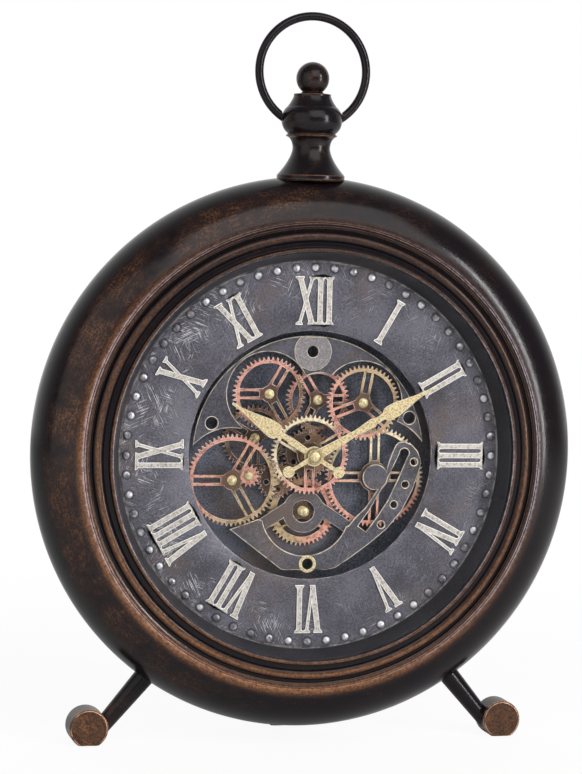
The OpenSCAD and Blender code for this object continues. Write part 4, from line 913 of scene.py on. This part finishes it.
stud_faces = (one_stud[None] + first_points[:, None, None]).reshape(-1, 4)
pressed_studs = shown_piece("pressed_studs", stud_points, stud_faces, ["minute_studs"],
                            [dark_stud])
print("studs", len(pressed_studs.data.polygons), "faces")

# %% [markdown]
# The plates, the numerals and the wheels are stamped or cast. Their outlines are right in the
# solids, so each is copied, its loose triangles are joined, and a fine bevel breaks its edges. The
# bevel's faces get the rubbed finish: that draws the pale line round every edge and hole.

# %% Stamped pieces with rubbed edges
BEND_DEG = 30                   # edges that turn by less stay as they are
SAME_FLAT_DEG = 0.3
WHEEL_EDGE = 0.15


def rubbed_copy(name, node, width, face_finish, edge_finish):
    """A copy of a solid with its edges broken by a bevel, width in mm. The triangles of a flat
    face are joined, because the bevel folds thin ones, but a numeral's faces are narrow and
    crooked, so they stay in triangles."""
    mesh = nodes[node].data.copy()
    work = bmesh.new()
    work.from_mesh(mesh)
    bmesh.ops.remove_doubles(work, verts=work.verts, dist=0.001 * MM)
    if node != "numerals":
        bmesh.ops.dissolve_limit(work, angle_limit=math.radians(SAME_FLAT_DEG),
                                 verts=work.verts, edges=work.edges)
    work.to_mesh(mesh)
    work.free()
    mesh.name = name
    mesh.shade_smooth()
    mesh.set_sharp_from_angle(angle=math.radians(BEND_DEG))
    piece = join_clock(bpy.data.objects.new(name, mesh), [node], [face_finish, edge_finish])
    edge = piece.modifiers.new("broken_edge", "BEVEL")
    edge.width, edge.segments = width * MM, 2
    edge.limit_method, edge.angle_limit = "ANGLE", math.radians(BEND_DEG)
    edge.use_clamp_overlap = False
    edge.harden_normals = True
    edge.material = 1
    return piece


# new piece: solid, width of its broken edge in mm, finish of its faces and of its edges
STAMPED = {
    "rubbed_dial": ("dial_plate", 0.25, slate_dial, edge_dial),
    "cast_numerals": ("numerals", 0.28, silver, silver_edge_and_highlight),
    "well_wall": ("well_ring", 0.2, slate_base, edge_dial),
    "rubbed_base_plate": ("base_plate", 0.25, slate_base, edge_dial),
    "rubbed_upper_bridge": ("upper_bridge", 0.45, slate_bridge, edge_slate),
    "rubbed_lower_bridge": ("lower_bridge", 0.45, slate_bridge, edge_slate),
    "rubbed_pin_bridge": ("pin_bridge", 0.2, slate_bridge, edge_slate),
    "rubbed_boss_disc": ("boss_disc", 0.3, slate_boss, edge_slate),
    "gilt_bottom_bush": ("bottom_bush", 0.15, pale_gold, gold_edge_and_highlight),
    "gilt_minute_hand": ("minute_hand", 0.16, pale_gold, gold_edge_and_highlight),
    "gilt_hour_hand": ("hour_hand", 0.16, pale_gold, gold_edge_and_highlight),
    "round_feet": ("feet", 0.3, bronze_foot, edge_bronze),
}
for wheel in WHEELS:
    STAMPED["aged_" + wheel] = (wheel, WHEEL_EDGE, wheel_finish[wheel], wheel_edge_wear_and_highlight)
for name, (node, width, face_finish, edge_finish) in STAMPED.items():
    rubbed_copy(name, node, width, face_finish, edge_finish)
print(len(STAMPED), "stamped pieces")

# %% [markdown]
# The rest of the clock is shown by the measured solids themselves: wire, rods, screws, the glass
# and what is moulded. They are small or plain enough that a finish is all they need. A solid that
# has no row here is a pin or a shaft, turned from brass.

# %% Finishes of the solids that show
FINISHES = {
    "bail_ring": bronze_trim, "legs": bronze_trim, "glass_lens": clear_glass,
    "hand_nut": pale_gold, "movement_housing": black_plastic, "setting_knob": black_plastic,
    "switch_slider": black_plastic, "back_cover": black_cover, "battery_cells": cell_sleeve,
    "finial_stud": zinc, "cover_posts": zinc, "cover_screws": zinc,
    "bridge_posts": slate_bridge, "centre_hub": aged_brass, "arbor_bushes": aged_brass,
    "centre_bush": aged_brass,
}
for name in nodes:
    material = FINISHES.get(name, pin_brass)
    mesh = nodes[name].data
    if not mesh.materials:
        mesh.materials.append(material)
    for slot in nodes[name].material_slots:
        slot.material = material
print(len(nodes), "solids finished")

# %% [markdown]
# The photograph has a white background, and a white sweep under and behind the clock. The floor
# is a pale sheet that keeps a faint shadow. The camera sees it mostly as white, and it fades out
# into the white around it, so no horizon shows.

# %% Floor
FLOOR_HALF = 3.0
FLOOR_GLOW = 0.92               # share of plain white that the camera sees
FADE_FROM, FADE_TO = 0.25, 0.7
floor_mesh = bpy.data.meshes.new("floor")
floor_mesh.from_pydata([(x * FLOOR_HALF, y * FLOOR_HALF, 0)
                        for x, y in ((-1, -1), (1, -1), (1, 1), (-1, 1))], [], [(0, 1, 2, 3)])
floor = bpy.data.objects.new("floor", floor_mesh)
bpy.context.scene.collection.objects.link(floor)
# Matt painted board: no reflection of the clock, only its shadow
pale_floor, tree, shader = finish("pale_floor", Roughness=0.7, Base_Color=linear("#f2f2f2"))
distance = add(tree, "VectorMath", add(tree, "TexCoord", out="Object"), out="Value",
               operation="LENGTH")
seen = add(tree, "LightPath", out="Is Camera Ray")
glowing = add(tree, "Math", seen, FLOOR_GLOW, **TIMES)
glow = add(tree, "Emission", {"Color": "#ffffff", "Strength": 1.0})
lit = add(tree, "MixShader", glowing, shader.outputs[0], glow)
far = add(tree, "MapRange", distance, FADE_FROM, FADE_TO, **SMOOTH)
fade = add(tree, "Math", seen, far, **TIMES)
faded = add(tree, "MixShader", fade, lit, add(tree, "BsdfTransparent"))
tree.links.new(faded, tree.nodes["Material Output"].inputs["Surface"])
floor_mesh.materials.append(pale_floor)
print("floor placed")

# %% [markdown]
# The clock stood in soft daylight: a narrow window far on the right draws the bright strip on the
# case, a wide weak one on the left fills in, and a wide one above and in front lights the dial.
# The room is bright behind the clock and dim in front of it, so the gloss lacquer stays dark.

# %% Lights
FRONT_LEVEL, BACK_LEVEL = 0.18, 1.0
BRIGHT_FROM = 0.6               # a direction's Y where the full level is reached
world = bpy.data.worlds.new("studio")
bpy.context.scene.world = world
world.use_nodes = True
tree = world.node_tree
sky = tree.nodes["Background"]
sky.inputs["Color"].default_value = linear("#ffffff")
behind = add(tree, "SeparateXYZ", add(tree, "TexCoord", out="Generated"), out="Y")
level = add(tree, "MapRange", behind, 0.0, BRIGHT_FROM, FRONT_LEVEL, BACK_LEVEL)
clear = add(tree, "Math", add(tree, "LightPath", out="Is Camera Ray"),
            add(tree, "LightPath", out="Is Transmission Ray"), operation="MAXIMUM")
strength = add(tree, "Mix", {0: clear, 2: level, 3: BACK_LEVEL})
tree.links.new(strength, sky.inputs["Strength"])


def soft_light(name, place, size, power):
    """A rectangular lamp at a place, in metres, that faces the middle of the case."""
    lamp = bpy.data.lights.new(name, "AREA")
    lamp.shape = "RECTANGLE"
    lamp.size, lamp.size_y = size
    lamp.energy = power
    holder = bpy.data.objects.new(name, lamp)
    bpy.context.scene.collection.objects.link(holder)
    back_way = np.array(place) - np.array((AXIS_X, MID_Y, AXIS_Z))
    back_way /= np.linalg.norm(back_way)
    side = np.cross((0.0, 0.0, 1.0), back_way)
    side /= np.linalg.norm(side)
    matrix = np.eye(4)
    matrix[:3, 0], matrix[:3, 1], matrix[:3, 2] = side, np.cross(back_way, side), back_way
    matrix[:3, 3] = place
    holder.matrix_world = matrix.T.tolist()


# name, place and size in metres, power in watts
soft_light("window_right", (1.12, -1.14, 0.45), (0.1, 1.0), 16)
soft_light("window_left", (-1.1, -0.9, 0.5), (1.6, 1.6), 9)
soft_light("window_top", (0.3, -1.5, 1.4), (1.8, 1.4), 23)
print("lights placed")
